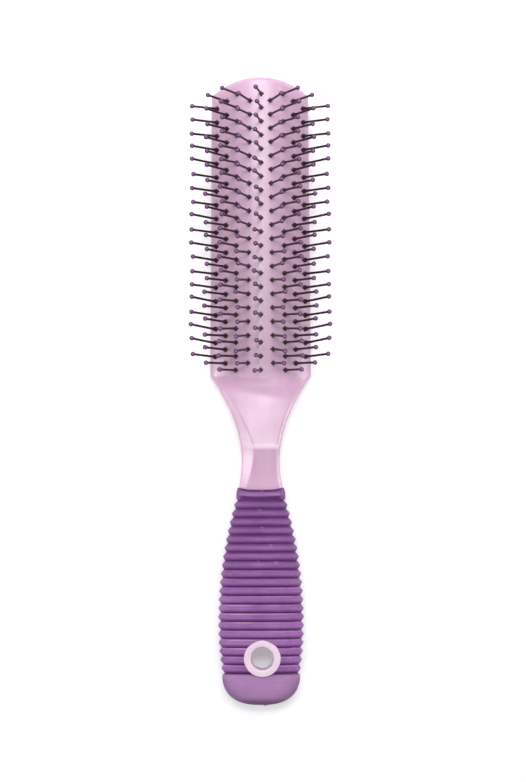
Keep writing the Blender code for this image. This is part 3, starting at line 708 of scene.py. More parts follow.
def grip_section(brush, from_end):
    """Half width, half thickness, middle height and roundness of the grip over its ribs."""
    grip, neck = brush.grip, brush.neck
    entry_width = neck.end_width + 2 * grip.side_overhang
    entry_thick = neck.end_height - neck.back_height + 2 * grip.front_overhang
    half_width = grip_half(brush, from_end, grip.width, entry_width, grip.cap_width)
    half_thick = grip_half(brush, from_end, grip.thickness, entry_thick, grip.cap_thickness)
    upper = max(from_end - grip.widest_from_end, 0.0) / (grip.length - grip.widest_from_end)
    seated = half_thick if from_end > grip.cap_length else grip.cap_thickness / 2
    middle = seated + (neck.back_height - grip.front_overhang) * upper
    return half_width, half_thick, middle, mix(GRIP_SECTION_POWER, LIP_SECTION_POWER, upper * upper)


def rounded_point(half_width, half_thick, power, turn):
    """Point of a rounded-rectangle section, some turn from the right."""
    across, up = cos(turn), sin(turn)
    reach = (abs(across / half_width) ** power + abs(up / half_thick) ** power) ** (-1 / power)
    return reach * across, reach * up


def lip_drop(dip, across):
    """How far the lip is drawn down at a share of the grip's half width."""
    return dip * (1 - across**4) ** 2


def grip_ring(brush, from_end, front, side, dip=0.0):
    """Ring round the grip, set in from the crest line by one depth in front and at the back
    and by another at the sides. The dip draws front and back down."""
    half_width, half_thick, middle, power = grip_section(brush, from_end)
    ring = []
    for turn in turns(GRIP_SIDES):
        x, z = rounded_point(half_width, half_thick, power, turn)
        inward = mix(front, side, smooth((abs(x) / half_width - SIDE_STARTS) / SIDE_SPAN))
        reach = sqrt(x * x + z * z)
        x, z = x * (1 - inward / reach), z * (1 - inward / reach)
        y = brush.end + from_end - lip_drop(dip, x / half_width)
        ring.append(Vector((x, y, middle + z)))
    return ring


def bore_ring(brush, from_end, dip=0.0):
    """Ring round the sleeve's bore."""
    half_width, half_thick, middle, power = grip_section(brush, from_end)
    inward = sleeve_inward(brush, from_end)
    ring = []
    for turn in turns(GRIP_SIDES):
        x, z = rounded_point(half_width - inward, half_thick - inward, power, turn)
        y = brush.end + from_end - lip_drop(dip, x / half_width)
        ring.append(Vector((x, y, middle + z)))
    return ring


def sleeve_inward(brush, from_end):
    """How far the sleeve's bore lies inside its crest line: it opens out round the neck."""
    grip = brush.grip
    bore = grip.rib_depth + grip.wall
    lip = grip.side_overhang - brush.head.fit_gap
    return mix(bore, lip, smooth(1 - (grip.length - from_end) / grip.collar_length))


def tang_end(brush):
    eyelet = brush.eyelet
    return eyelet.from_end - eyelet.bore / 2 - eyelet.wall - brush.head.fit_gap - eyelet.past


def tang_ring(brush, from_end, entry_ring):
    """Ring of the tang. It starts as the neck's own section and soon fills the bore."""
    half_width, half_thick, middle, power = grip_section(brush, from_end)
    inward = sleeve_inward(brush, from_end) + brush.head.fit_gap
    half_width, half_thick = half_width - inward, half_thick - inward
    blend = smooth((brush.grip.length - from_end) / brush.neck.tang_blend)
    y = brush.end + from_end
    ring = []
    for point in entry_ring:
        direction = atan2(point.z - middle, point.x)
        x, z = rounded_point(half_width, half_thick, power, direction)
        ring.append(Vector((mix(point.x, x, blend), y, mix(point.z, middle + z, blend))))
    return ring


def body_mesh(brush):
    """The whole moulding: hollow head, neck and tang, with the seat of the cover."""
    head, neck, grip = brush.head, brush.neck, brush.grip
    rings = [head_ring(brush, x, y, turn) for x, y, turn in dome_stations(brush)]
    last_y = rings[-1][0].y
    for t in steps(HEAD_ROWS, 1):
        y = mix(last_y, brush.shoulder, t)
        rings.append(head_ring(brush, head_half_width(brush, y), y, pi / 2))
    rings += [neck_ring(brush, neck.length * t) for t in steps(NECK_ROWS, 1)]
    entry = rings[-1]
    for t in steps(TANG_ROWS, 1):
        rings.append(tang_ring(brush, mix(grip.length, tang_end(brush), t), entry))
    tools = [cavity_mesh(brush), cover_seat_mesh(brush), pin_holes_mesh(brush)]
    tools += eyelet_cutters(brush)
    mesh = boolean(loft_mesh("lilac_moulding", rings, close_start=False), tools, "DIFFERENCE")

    # Share of the painted highlight along the neck's rounded cross ridge, kept on each point
    def shares(point):
        past = brush.shoulder - neck.ridge_from_head - point.y
        away = past - RIDGE_SHARE * neck.ridge_round
        rise = (point.z - neck.ridge_height) / (RIDGE_SUNK_SPAN * neck.ridge_round)
        top = smooth(rise + RIDGE_SUNK)
        return (near(away, RIDGE_SPAN * neck.ridge_round, RIDGE_FULL) * top,)

    add_shares(mesh, ("ridge",), shares)
    return mesh


def pin_holes_mesh(brush):
    """Square holes through the front of the head, one round each foot."""
    head, pins = brush.head, brush.pins
    half = pins.foot_width / 2 + pins.hole_gap * sqrt(2)
    square = ((half, 0.0), (0.0, half), (-half, 0.0), (0.0, -half))
    shape = bmesh.new()
    for side, column in pin_columns():
        for foot, direction, sideways in pin_frames(brush, side, column):
            rings = []
            for depth in (-2 * head.wall, head.wall):
                centre = foot + direction * depth
                rings.append([centre + sideways * x + Vector((0.0, y, 0.0)) for x, y in square])
            add_loft(shape, rings)
    return finish_shape("pin_holes", shape)


def roof_ring(brush, y, half, inward, floor):
    """Section across the head under its crown, from a floor up."""
    head = brush.head
    ring = [Vector((half, y, floor)), Vector((-half, y, floor))]
    for x in (mix(-half, half, t) for t in steps(CROWN_STEPS)):
        ring.append(Vector((x, y, crown_height(head, x, inward))))
    return ring


def cavity_mesh(brush):
    head = brush.head
    rows = plan_outline(brush, head.wall, -head.cavity_short, head.cover_corner)
    rings = []
    for x, y in rows:
        if not rings or abs(rings[-1][0].y - y) > WELD:
            rings.append(roof_ring(brush, y, max(x, head.fit_gap), head.wall, -head.wall))
    return loft_mesh("cavity", rings)


def cover_seat_mesh(brush):
    head = brush.head
    past = head.cover_past_shoulder + head.fit_gap
    outline = whole_outline(plan_outline(brush, head.rim_width, past, head.cover_corner))
    top = head.cover_thickness + head.fit_gap
    return outline_mesh("cover_seat", [(outline, -head.wall), (outline, top)])


def cover_mesh(brush):
    """Flat plate with a rounded edge, and three cross ribs that reach up to the strips."""
    head, pins = brush.head, brush.pins
    inset = head.rim_width + head.fit_gap
    outlines = []
    for turn in (pi / 2 * t for t in steps(COVER_EDGE_STEPS)):
        drawn = head.cover_edge * (1 - sin(turn))
        past, corner = head.cover_past_shoulder - drawn, head.cover_corner - drawn
        side = plan_outline(brush, inset + drawn, past, corner)
        outlines.append((whole_outline(side), head.cover_edge * (1 - cos(turn))))
    outlines.append((outlines[-1][0], head.cover_thickness))
    ribs = []
    inward = head.wall + pins.rail_height + 2 * head.fit_gap
    for place in RIB_PLACE_SHARES:
        y = mix(brush.dome, brush.shoulder, place)
        half = head_half_width(brush, y) - head.wall - 2 * head.fit_gap
        ends = (y - head.rib_thickness / 2, y + head.rib_thickness / 2)
        rings = [roof_ring(brush, end, half, inward, head.cover_thickness / 2) for end in ends]
        ribs.append(loft_mesh("rib", rings))
    return boolean(outline_mesh("back_plate", outlines), ribs, "UNION")


def pin_columns():
    """Side and number of each pin column, the middle one first."""
    outer = range(1, len(COLUMN_LEANS))
    return [(1, 0)] + [(side, column) for column in outer for side in (-1, 1)]


def column_name(side, column):
    if column == 0:
        return "centre"
    return f"{'left' if side < 0 else 'right'}_{column}"


def column_place(brush, side, column, y):
    """How far a pin column stands from the axis. The middle one is column 0."""
    run = (y - brush.shoulder) / brush.head.side_length
    place = mix(COLUMN_NECK_SHARES[column], COLUMN_TIP_SHARES[column], run)
    return side * place * head_half_width(brush, y)


def pin_frames(brush, side, column):
    """Foot point on the crown, pin direction and sideways direction of each pin of a column."""
    head, pins = brush.head, brush.pins
    lean = radians(COLUMN_LEANS[column]) * side
    direction = Vector((sin(lean), 0.0, cos(lean)))
    sideways = Vector((cos(lean), 0.0, -sin(lean)))
    first = brush.tip - head.wall - pins.first_row - COLUMN_OFFSET_SHARES[column] * pins.pitch
    room = first - brush.shoulder - pins.last_row
    count = whole(room / pins.pitch) + 1 - COLUMN_PINS_LEFT_OUT[column]
    frames = []
    for row in range(count):
        y = first - row * pins.pitch
        x = column_place(brush, side, column, y)
        frames.append((Vector((x, y, crown_height(head, x))), direction, sideways))
    return frames


def pin_profile(brush):
    """Distance along a pin, half width there, and how square it is: 1 square to 0 round."""
    head, pins = brush.head, brush.pins
    shaft, ball = pins.shaft_width / 2, pins.ball_width / 2
    rail = head.wall + head.fit_gap + pins.rail_height / 2
    rows = [(-rail, pins.root_width / 2, 1.0)]
    for t in steps(FOOT_ROWS):
        half = mix(pins.foot_width / 2, shaft, t**FOOT_POWER)
        rows.append((pins.foot_height * t, half, 1 - t**3))
    neck = pins.reach - sqrt(ball * ball - shaft * shaft)
    for t in steps(SHAFT_ROWS, 1):
        half = shaft * (1 - SHAFT_WAIST * sin(pi * t))
        rows.append((mix(pins.foot_height, neck, t), half, 0.0))
    for t in steps(BALL_ROWS, 1):
        turn = mix(asin(shaft / ball), pi, t)
        rows.append((pins.reach - ball * cos(turn), max(ball * sin(turn), BALL_END), 0.0))
    return rows


def pin_ring(brush, frame_of_pin, row, shift):
    """Ring round a pin. The shift draws the pin aside, more and more towards its ball."""
    foot, direction, sideways = frame_of_pin
    along, half, square = row
    bend = (max(along, 0.0) / brush.pins.reach) ** PIN_BEND_POWER
    centre = foot + direction * along + shift * bend
    ring = []
    for turn in turns(PIN_SIDES):
        c, s = cos(turn), sin(turn)
        reach = mix(half, half / (abs(c) + abs(s)), square)
        ring.append(centre + sideways * (reach * c) + Vector((0.0, 1.0, 0.0)) * (reach * s))
    return ring


def rail_mesh(brush, frames):
    """Bar under the head's front that carries one column of pins."""
    head, pins = brush.head, brush.pins
    first, last = frames[0][0], frames[-1][0]
    along = (first - last).normalized()
    middle = (first + last) / 2
    tilt = asin(middle.x / head.crown_radius)
    normal = Vector((sin(tilt), 0.0, cos(tilt)))
    direction = frames[0][1]
    depth = head.wall + head.fit_gap + pins.rail_height / 2
    centre = middle - direction * (depth / direction.dot(normal))
    across = along.cross(normal).normalized()
    turn = Matrix((across, along, across.cross(along))).transposed().to_4x4()
    length = (first - last).length + 2 * pins.rail_end
    shape = bmesh.new()
    bmesh.ops.create_cube(shape, size=1.0)
    bmesh.ops.scale(shape, vec=(pins.rail_width, length, pins.rail_height), verts=shape.verts)
    bmesh.ops.bevel(
        shape, geom=shape.edges[:], offset=pins.rail_width / 8, segments=2, affect="EDGES"
    )
    bmesh.ops.transform(shape, matrix=Matrix.Translation(centre) @ turn, verts=shape.verts)
    return finish_shape("rail", shape)


def tip_shift(brush, side, column, foot, draw):
    """How far a ball stands from its pin's straight line: along the column, and by chance."""
    pins = brush.pins
    run = (foot.y - brush.shoulder) / brush.head.side_length
    forward = mix(NECK_FORWARD_SHARES[column], TIP_FORWARD_SHARES[column], run) * pins.reach
    across = draw.uniform(-1, 1) * pins.scatter * side
    return Vector((across, forward + draw.uniform(-1, 1) * pins.scatter, 0.0))


def strip_mesh(brush, side, column):
    """One strip: its rail and pins in one piece. Each point holds its share of ball colour and
    of the painted highlight on top of a ball."""
    pins = brush.pins
    frames = pin_frames(brush, side, column)
    profile = pin_profile(brush)
    draw = random.Random(PIN_SEED + column)
    shape = bmesh.new()
    balls = []
    for frame_of_pin in frames:
        foot, direction, _ = frame_of_pin
        shift = tip_shift(brush, side, column, foot, draw)
        add_loft(shape, [pin_ring(brush, frame_of_pin, row, shift) for row in profile])
        balls.append(foot + direction * pins.reach + shift)
    mesh = boolean(rail_mesh(brush, frames), [finish_shape("pins", shape)], "UNION")

    def shares(point):
        row = min(max(round((frames[0][0].y - point.y) / pins.pitch), 0), len(frames) - 1)
        foot, direction, _ = frames[row]
        above = (point - foot).dot(direction) - pins.reach + pins.ball_width / 2
        rise = (point.z - balls[row].z) / (pins.ball_width / 2)
        ball = smooth(above / (pins.ball_width / 4) + 0.5)
        # The second share is the painted highlight on the top of the ball
        return ball, smooth((rise - BALL_HIGHLIGHT_STARTS) / BALL_HIGHLIGHT_SPAN)

    add_shares(mesh, ("ball", "painted_ball_highlight"), shares)
    return mesh


def groove_span(brush):
    """Number of ribs, and places of the grooves next to the end cap and to the collar."""
    grip = brush.grip
    top = grip.length - grip.collar_length
    ribs = whole((top - grip.cap_length) / grip.rib_pitch)
    return ribs, top - ribs * grip.rib_pitch, top


def rib_turn(brush, from_end):
    """Place within a rib, from 0 in the groove at its lip end to 1 in the next groove."""
    grip = brush.grip
    turn = (grip.length - grip.collar_length - from_end) / grip.rib_pitch
    return turn - whole(turn, slack=1e-6)


def rib_depths(brush, from_end):
    """Depth below the crest line in front and at the sides of the grip: ribs are broad in
    front, with narrow grooves, and pointed at the sides."""
    away = abs(2 * rib_turn(brush, from_end) - 1)
    front = FRONT_DEPTH_SHARE * away**FRONT_RIB_POWER + FRONT_FLANK_SHARE * away
    return brush.grip.rib_depth * front, brush.grip.rib_depth * away**SIDE_RIB_POWER


def sleeve_rows(brush):
    """Places along the sleeve's outside with their depths in front and at the sides and their
    dip, from the end cap to the lip."""
    grip = brush.grip
    ribs, last_groove, top = groove_span(brush)
    rows = []
    front_groove, side_groove = rib_depths(brush, top)
    for t in steps(CAP_ROWS, 1):
        place = last_groove * (1 - cos(pi / 2 * t))
        depth = near(last_groove - place, CAP_GROOVE_SPAN * grip.rib_pitch)
        rows.append((place, front_groove * depth, side_groove * depth, 0.0))
    for rib in range(ribs, 0, -1):
        for turn in RIB_TURNS:
            place = top - grip.rib_pitch * (rib - turn)
            rows.append((place, *rib_depths(brush, place), 0.0))
    for t in steps(COLLAR_ROWS, 1):
        place = mix(top, grip.length - grip.lip_round, t)
        front = grip.rib_depth * read_table(COLLAR_PLACE_SHARES, COLLAR_FRONT_SHARES, t)
        side = grip.rib_depth * read_table(COLLAR_PLACE_SHARES, COLLAR_SIDE_SHARES, t)
        rows.append((place, front, side, grip.lip_dip * t * t))
    inner = sleeve_inward(brush, grip.length)
    for t in steps(LIP_ROWS, 1)[:-1]:
        share_in = (1 - cos(pi * t)) / 2
        place = grip.length - grip.lip_round * (1 - sin(pi * t))
        rows.append((place, mix(front, inner, share_in), mix(side, inner, share_in), grip.lip_dip))
    return rows


def sleeve_mesh(brush):
    """Ribbed rubber sleeve: outside from its closed end to the lip, then down the bore."""
    grip = brush.grip
    rings = [grip_ring(brush, *row) for row in sleeve_rows(brush)]
    add_gate_mark(brush, rings[:CAP_ROWS])
    last = tang_end(brush) - brush.head.fit_gap
    for t in steps(BORE_ROWS):
        place = mix(grip.length - grip.lip_round, last, t)
        rings.append(bore_ring(brush, place, 0.0 if t else grip.lip_dip))
    mesh = boolean(loft_mesh("grip_sleeve", rings), eyelet_cutters(brush), "DIFFERENCE")
    # Painted shade, painted highlight, the lighter lower grip and the lighter cap are kept on each
    # point
    add_shares(
        mesh, ("groove", "upper_edge", "palm", "cap"),
        lambda point: sleeve_shares(brush, point.x, point.y - brush.end, point.z),
    )
    return mesh


def add_gate_mark(brush, rings):
    """Small round swelling at the end of the grip, where the rubber was let in."""
    grip = brush.grip
    for ring in rings:
        for point in ring:
            away = sqrt((point.x - grip.gate_place) ** 2 + (point.z - grip.cap_thickness / 2) ** 2)
            if point.y < brush.end + grip.gate_width:
                point.y -= grip.gate_height * near(away, grip.gate_width / 2, GATE_FULL)


def collar_shade(brush, x, from_end):
    """How much painted shade the front of the collar gets, in its recess and under its lip, and how
    much painted highlight the band between the two."""
    grip = brush.grip
    t = (from_end - grip.length + grip.collar_length) / grip.collar_length
    if t < 0:
        return 0.0, 0.0
    across = min(abs(x) / grip_section(brush, from_end)[0], 1.0)
    front = smooth((COLLAR_FRONT - across) / COLLAR_FRONT_SPAN)
    lift = COLLAR_LIFT * across * across
    lip = 1 - lip_drop(grip.lip_dip, across) / grip.collar_length
    recess = RECESS_DEPTH * smooth((RECESS_SHARE + lift - t) / RECESS_SPAN)
    band = BAND_DEPTH * near(t - BAND_SHARE - lift / 2, BAND_SPAN, BAND_FULL)
    under_lip = LIP_DEPTH * smooth((t - lip + LIP_SHARE) / LIP_SPAN)
    return front * max(recess, under_lip), front * band


def cap_shade(brush, from_end, z):
    """How dark the end cap is, at its end and where it turns to its sides."""
    grip = brush.grip
    _, low, _ = groove_span(brush)
    tail = TAIL_DEPTH * smooth(1 - from_end / (TAIL_SHARE * grip.cap_length))
    sunk = smooth((2 * (1 - z / grip.cap_thickness) - CAP_EDGE_STARTS) / CAP_EDGE_SPAN)
    side = CAP_EDGE_DEPTH * sunk * smooth((low - from_end) / grip.rib_pitch)
    return 1 - (1 - tail) * (1 - side)


def lit_edge(place):
    """Share of the painted highlight along a rib's upper edge, at a place within a rib."""
    return near(place - UPPER_EDGE_SHARE, UPPER_EDGE_SPAN, UPPER_EDGE_FULL)


def sleeve_shares(brush, x, from_end, z):
    """How much painted shade a point of the sleeve gets in and beside a groove, in the collar and
    on the end cap; how much painted highlight on a rib's upper edge, the collar band and the cap's
    rim; how far down the grip towards the palm, where it is painted lighter; and whether on the
    end cap."""
    grip = brush.grip
    _, low, top = groove_span(brush)
    held = min(max(from_end, low), top)
    turn = rib_turn(brush, held)
    lip = smooth((from_end - LIP_RIBS_START * grip.length) / (LIP_RIBS_SPAN * grip.length))
    # Painted shade on the rib flanks before and after each groove, and in a faint line
    before = smooth((turn - BEFORE_GROOVE) / BEFORE_GROOVE_SPAN)
    span = mix(AFTER_GROOVE, AFTER_GROOVE_AT_LIP, lip)
    after = smooth((span - turn) / span)
    faint_shade_line = SHADE_LINE_DEPTH * (1 - lip) * near(turn - SHADE_LINE_SHARE, SHADE_LINE_SPAN)
    deep = max(before, after, faint_shade_line) * near(from_end - held, LAST_GROOVE_SPAN * grip.rib_pitch)
    shade, band = collar_shade(brush, x, from_end)
    on_ribs = low < from_end < top
    # Painted highlight along the upper edge of each rib and along the cap's rim
    rubbed = lit_edge(turn) * mix(1.0, UPPER_EDGE_AT_LIP, lip) if on_ribs else 0.0
    rim = CAP_RIM_DEPTH * lit_edge((low - from_end) / grip.rib_pitch)
    return (
        max(deep * mix(1.0, GROOVE_AT_LIP, lip), shade, cap_shade(brush, from_end, z)),
        max(rubbed, band, rim),
        near(from_end, grip.length - grip.cap_length, LOWER_GRIP_LIT_FULL),
        smooth((low - from_end) / (CAP_START_SPAN * grip.rib_pitch)),
    )


def eyelet_top(brush):
    """Height of the eyelet's flange, a little over the ribs there."""
    _, half_thick, middle, _ = grip_section(brush, brush.eyelet.from_end)
    return middle + half_thick + brush.eyelet.proud


def eyelet_cutters(brush):
    """Hole for the eyelet's barrel, and the seat of its flange."""
    eyelet, gap = brush.eyelet, brush.head.fit_gap
    barrel = eyelet.bore / 2 + eyelet.wall
    seat = barrel + eyelet.rim + eyelet.seat_gap
    floor = eyelet_top(brush) - eyelet.flange_thickness - gap
    top = brush.grip.thickness + eyelet.flange_thickness
    centre = (eyelet.aside, brush.eye)
    return [
        cylinder_mesh(barrel + gap, -eyelet.flange_thickness, top, *centre),
        cylinder_mesh(seat, floor, top, *centre),
    ]


def eyelet_mesh(brush):
    """Turned bush with a flange in front and rounded edges."""
    eyelet = brush.eyelet
    top = eyelet_top(brush)
    bore, barrel = eyelet.bore / 2, eyelet.bore / 2 + eyelet.wall
    flange = barrel + eyelet.rim
    under = top - eyelet.flange_thickness
    low = eyelet.back_inset
    corners = (
        (bore, top), (flange, top), (flange, under), (barrel, under), (barrel, low), (bore, low)
    )
    profile = round_off([
        (Vector((x, 0.0, z)), round_share * eyelet.edge_round)
        for (x, z), round_share in zip(corners, EYELET_ROUND_SHARES)
    ])
    rings = []
    for turn in turns(LATHE_SIDES):
        x, y = cos(turn), sin(turn)
        rings.append([
            (eyelet.aside + point.x * x, brush.eye + point.x * y, point.z) for point in profile
        ])
    shape = bmesh.new()
    add_loft(shape, rings + rings[:1], close_start=False, close_end=False)
    return finish_shape("hanging_eyelet", shape)


def add_node(tree, kind, inputs=(), **settings):
    """A node with its settings, and with a value or a link for each of its first inputs."""
    made = tree.nodes.new(kind)
    for key, value in settings.items():
        setattr(made, key, value)
    for socket, value in zip(made.inputs, inputs):
        feed(tree, socket, value)
    return made


def feed(tree, socket, value):
    """Link an output to a socket, or set the socket's own value."""
    if isinstance(value, bpy.types.NodeSocket):
        tree.links.new(value, socket)
    else:
        socket.default_value = value


def seen_share(tree):
    """1 for what the camera, glossy skins and glass see of a thing, 0 for the light from it."""
    path = add_node(tree, "ShaderNodeLightPath")
    seen = path.outputs["Is Camera Ray"]
    for name in ("Is Glossy Ray", "Is Transmission Ray"):
        both = (seen, path.outputs[name])
        seen = add_node(tree, "ShaderNodeMath", both, operation="MAXIMUM").outputs["Value"]
    return seen


class Finish:
    """A material's nodes, added one by one round its Principled shader."""

    def __init__(self, name):
        self.material = bpy.data.materials.new(name)
        self.material.use_nodes = True
        self.tree = self.material.node_tree
        self.shader = self.tree.nodes["Principled BSDF"]
        self.place = self.node("ShaderNodeTexCoord").outputs["Object"]

    def node(self, kind, inputs=(), **settings):
        return add_node(self.tree, kind, inputs, **settings)

    def set(self, **values):
        """Uniform values, straight on the shader's sockets."""
        for key, value in values.items():
            self.shader.inputs[key.replace("_", " ")].default_value = value

    def stretched(self, x=1.0, y=1.0):
        """The place in the piece, scaled apart along the axes."""
        mapping = self.node("ShaderNodeMapping")
        feed(self.tree, mapping.inputs["Vector"], self.place)
        mapping.inputs["Scale"].default_value = (x, y, 1.0)
        return mapping.outputs["Vector"]

    def noise(self, scale, detail=3.0, roughness=0.5, place=None):
        made = self.node("ShaderNodeTexNoise")
        feed(self.tree, made.inputs["Vector"], place or self.place)
        for key, value in (("Scale", scale), ("Detail", detail), ("Roughness", roughness)):
            made.inputs[key].default_value = value
        return made.outputs["Fac"]

    def spread(self, source, low, high, to_low=0.0, to_high=1.0):
        """A value read from one range into another, held at its ends."""
        ranges = (source, low, high, to_low, to_high)
        return self.node("ShaderNodeMapRange", ranges, clamp=True).outputs["Result"]

    def clouds(self, scale, low, high, to_low=0.0, to_high=1.0, **kind):
        """Noise, read from one range into another."""
        return self.spread(self.noise(scale, **kind), low, high, to_low, to_high)

    def times(self, first, second):
        return self.node("ShaderNodeMath", (first, second), operation="MULTIPLY").outputs["Value"]

    def blend(self, factor, first, second):
        """A colour between two, by a factor. Each may be a colour or an output."""
        made = self.node("ShaderNodeMix", data_type="RGBA")
        for socket, value in ((0, factor), (6, first), (7, second)):
            feed(self.tree, made.inputs[socket], value)
        return made.outputs[2]

    def along(self, stops):
        """A value that changes along the brush, from places and values in growing order."""
        split = self.node("ShaderNodeSeparateXYZ", (self.place,))
        low, high = stops[0][0], stops[-1][0]
        ramp = self.node("ShaderNodeValToRGB", (self.spread(split.outputs["Y"], low, high),))
        ramp.color_ramp.interpolation = "EASE"
        marks = ramp.color_ramp.elements
        for _ in stops[2:]:
            marks.new(0.5)
        for mark, (place, value) in zip(marks, stops):
            mark.position = (place - low) / (high - low)
            mark.color = (value, value, value, 1.0)
        return ramp.outputs["Color"]

    def attribute(self, name):
        return self.node("ShaderNodeAttribute", attribute_name=name).outputs["Fac"]

    def edges(self, low, high):
        """Share of how sharply the surface turns outwards."""
        return self.spread(self.node("ShaderNodeNewGeometry").outputs["Pointiness"], low, high)

    def bump(self, height, strength, distance, under=None):
        """Relief from a height, over that of another bump."""
        made = self.node("ShaderNodeBump")
        made.inputs["Strength"].default_value = strength
        made.inputs["Distance"].default_value = distance
        feed(self.tree, made.inputs["Height"], height)
        if under is not None:
            feed(self.tree, made.inputs["Normal"], under)
        return made.outputs["Normal"]

    def wear(self, colour_output, roughness, normal=None):
        """Hand the colour, roughness and normal to the shader."""
        feed(self.tree, self.shader.inputs["Base Color"], colour_output)
        feed(self.tree, self.shader.inputs["Roughness"], roughness)
        if normal is not None:
            feed(self.tree, self.shader.inputs["Normal"], normal)
        return self.material


def scaled(values, factor):
    return tuple(min(value * factor, 1.0) for value in values[:3]) + (1.0,)


def lilac_plastic(brush, name="lilac_plastic"):
    """Cloudy, slightly translucent lilac plastic with a satin skin, rubbed along its edges, with
    painted shade that changes along the brush and a painted highlight along the neck's ridge.
    """
    paint = brush.finishes
    skin = Finish(name)
    base = skin.blend(skin.clouds(38.0, 0.35, 0.68), paint.lilac, paint.lilac_light)
    # Painted shade: the lilac is darkened along the brush, by a table of shares
    deep = skin.blend(skin.along(LILAC_PAINTED_SHADE), base, scaled(paint.lilac, 0.70))
    flow = skin.clouds(260.0, 0.3, 0.75, detail=4.0, roughness=0.6, place=skin.stretched(y=0.18))
    streaked = skin.blend(skin.times(flow, 0.22), deep, scaled(paint.lilac_light, 1.10))
    # Painted highlight along the neck's cross ridge
    ridge = skin.times(skin.attribute("ridge"), 0.60)
    ridge_lit = skin.blend(ridge, streaked, paint.lilac_wear_and_highlight)
    worn = skin.blend(skin.times(skin.edges(0.505, 0.56), paint.wear), ridge_lit, paint.lilac_wear_and_highlight)
    smudges = skin.clouds(95.0, 0.3, 0.72, 0.26, 0.40, detail=5.0, roughness=0.62)
    pores = skin.bump(skin.noise(2600.0, 2.0), 0.10, 0.00004)
    ripple = skin.bump(skin.noise(210.0, 2.0), 0.16, 0.00012, pores)
    hairlines = skin.clouds(900.0, 0.62, 0.72, detail=2.0, place=skin.stretched(y=0.03))
    skin.set(
        Subsurface_Weight=0.35, Subsurface_Radius=(1.0, 0.62, 0.85), Subsurface_Scale=0.0016,
        IOR=1.50, Coat_Weight=0.35, Coat_Roughness=0.24,
    )
    return skin.wear(worn, smudges, skin.bump(hairlines, 0.05, 0.00002, ripple))


def grip_rubber(brush):
    """Soft purple rubber, rubbed paler on the crests, with painted shade in and beside the grooves,
    in the collar and at the cap's end, painted highlights on the ribs' upper edges, the collar band
    and the cap's rim, a top painted darker and a cap painted lighter.
    """
    paint = brush.finishes
    skin = Finish("grip_rubber")
    clouds = skin.clouds(110.0, 0.32, 0.68, detail=5.0, roughness=0.6)
    # Painted light: the top of the grip is painted darker and the lower grip lighter
    darker_top = skin.blend(clouds, scaled(paint.purple, 0.66), scaled(paint.purple, 0.86))
    lighter_lower = skin.blend(clouds, paint.purple, paint.purple_light)
    # The end cap is painted lighter, as if lit from above
    capped = skin.blend(clouds, scaled(paint.cap, 0.90), scaled(paint.cap, 1.08))
    base = skin.blend(skin.attribute("palm"), darker_top, lighter_lower)
    base = skin.blend(skin.attribute("cap"), base, capped)
    brushed = skin.clouds(1300.0, 0.38, 0.66, roughness=0.6, place=skin.stretched(x=0.10))
    base = skin.blend(skin.times(brushed, 0.09), base, paint.dust_and_highlight)
    streaks = skin.clouds(170.0, 0.42, 0.70, 0.0, 0.8, roughness=0.6, place=skin.stretched(x=0.25))
    # Painted highlight on the ribs' upper edges, the collar band and the cap's rim
    edges_lit = skin.blend(skin.times(skin.attribute("upper_edge"), streaks), base, paint.dust_and_highlight)
    # Painted shade in and beside the grooves, in the collar and at the cap's end
    shaded = skin.blend(skin.attribute("groove"), edges_lit, paint.purple_painted_shade)
    specks = skin.clouds(1500.0, 0.60, 0.80, 0.0, 0.22, detail=2.0, roughness=0.7)
    dusted = skin.blend(specks, shaded, scaled(paint.purple_light, 1.35))
    rubbed = skin.times(skin.edges(0.515, 0.60), paint.wear)
    worn = skin.blend(rubbed, dusted, scaled(paint.purple_light, 1.25))
    rough = skin.clouds(140.0, 0.3, 0.7, 0.50, 0.68, detail=4.0, roughness=0.6)
    grain = skin.bump(skin.noise(5200.0, 3.0, 0.6), 0.28, 0.00005)
    skin.set(Sheen_Weight=0.06, Sheen_Roughness=0.45, IOR=1.33)
    return skin.wear(worn, rough, skin.bump(skin.noise(620.0), 0.20, 0.00010, grain))


def pin_nylon(brush):
    """Dark nylon, with balls of a clearer purple and a painted highlight on top of each ball."""
    paint = brush.finishes
    skin = Finish("pin_nylon")
    ball = skin.attribute("ball")
    mottle = skin.clouds(420.0, 0.3, 0.7)
    shaft = skin.blend(mottle, paint.nylon, scaled(paint.nylon, 1.7))
    tip = skin.blend(mottle, paint.ball, scaled(paint.ball, 1.35))
    # Painted highlight on the top of each ball
    ball_lit = skin.blend(skin.times(skin.attribute("painted_ball_highlight"), 0.50), tip, paint.painted_ball_highlight)
    dull = skin.clouds(700.0, 0.3, 0.7, 0.32, 0.46)
    rough = skin.times(dull, skin.spread(ball, 0.0, 1.0, 1.0, 0.45))
    skin.set(IOR=1.38)
    grain = skin.bump(skin.noise(4200.0, 2.0), 0.12, 0.00003)
    return skin.wear(skin.blend(ball, shaft, ball_lit), rough, grain)


def eyelet_plastic(brush):
    """Pale lilac plastic, a little glossier than the head."""
    paint = brush.finishes
    skin = Finish("eyelet_plastic")
    base = skin.blend(skin.clouds(180.0, 0.35, 0.68), paint.eyelet, scaled(paint.eyelet, 1.06))
    rubbed = skin.times(skin.edges(0.52, 0.62), paint.wear)
    worn = skin.blend(rubbed, base, scaled(paint.eyelet, 1.15))
    rough = skin.clouds(300.0, 0.3, 0.7, 0.22, 0.34, detail=4.0)
    skin.set(
        Subsurface_Weight=0.25, Subsurface_Radius=(1.0, 0.75, 0.9), Subsurface_Scale=0.001, IOR=1.50
    )
    return skin.wear(worn, rough, skin.bump(skin.noise(1800.0, 2.0), 0.10, 0.00004))


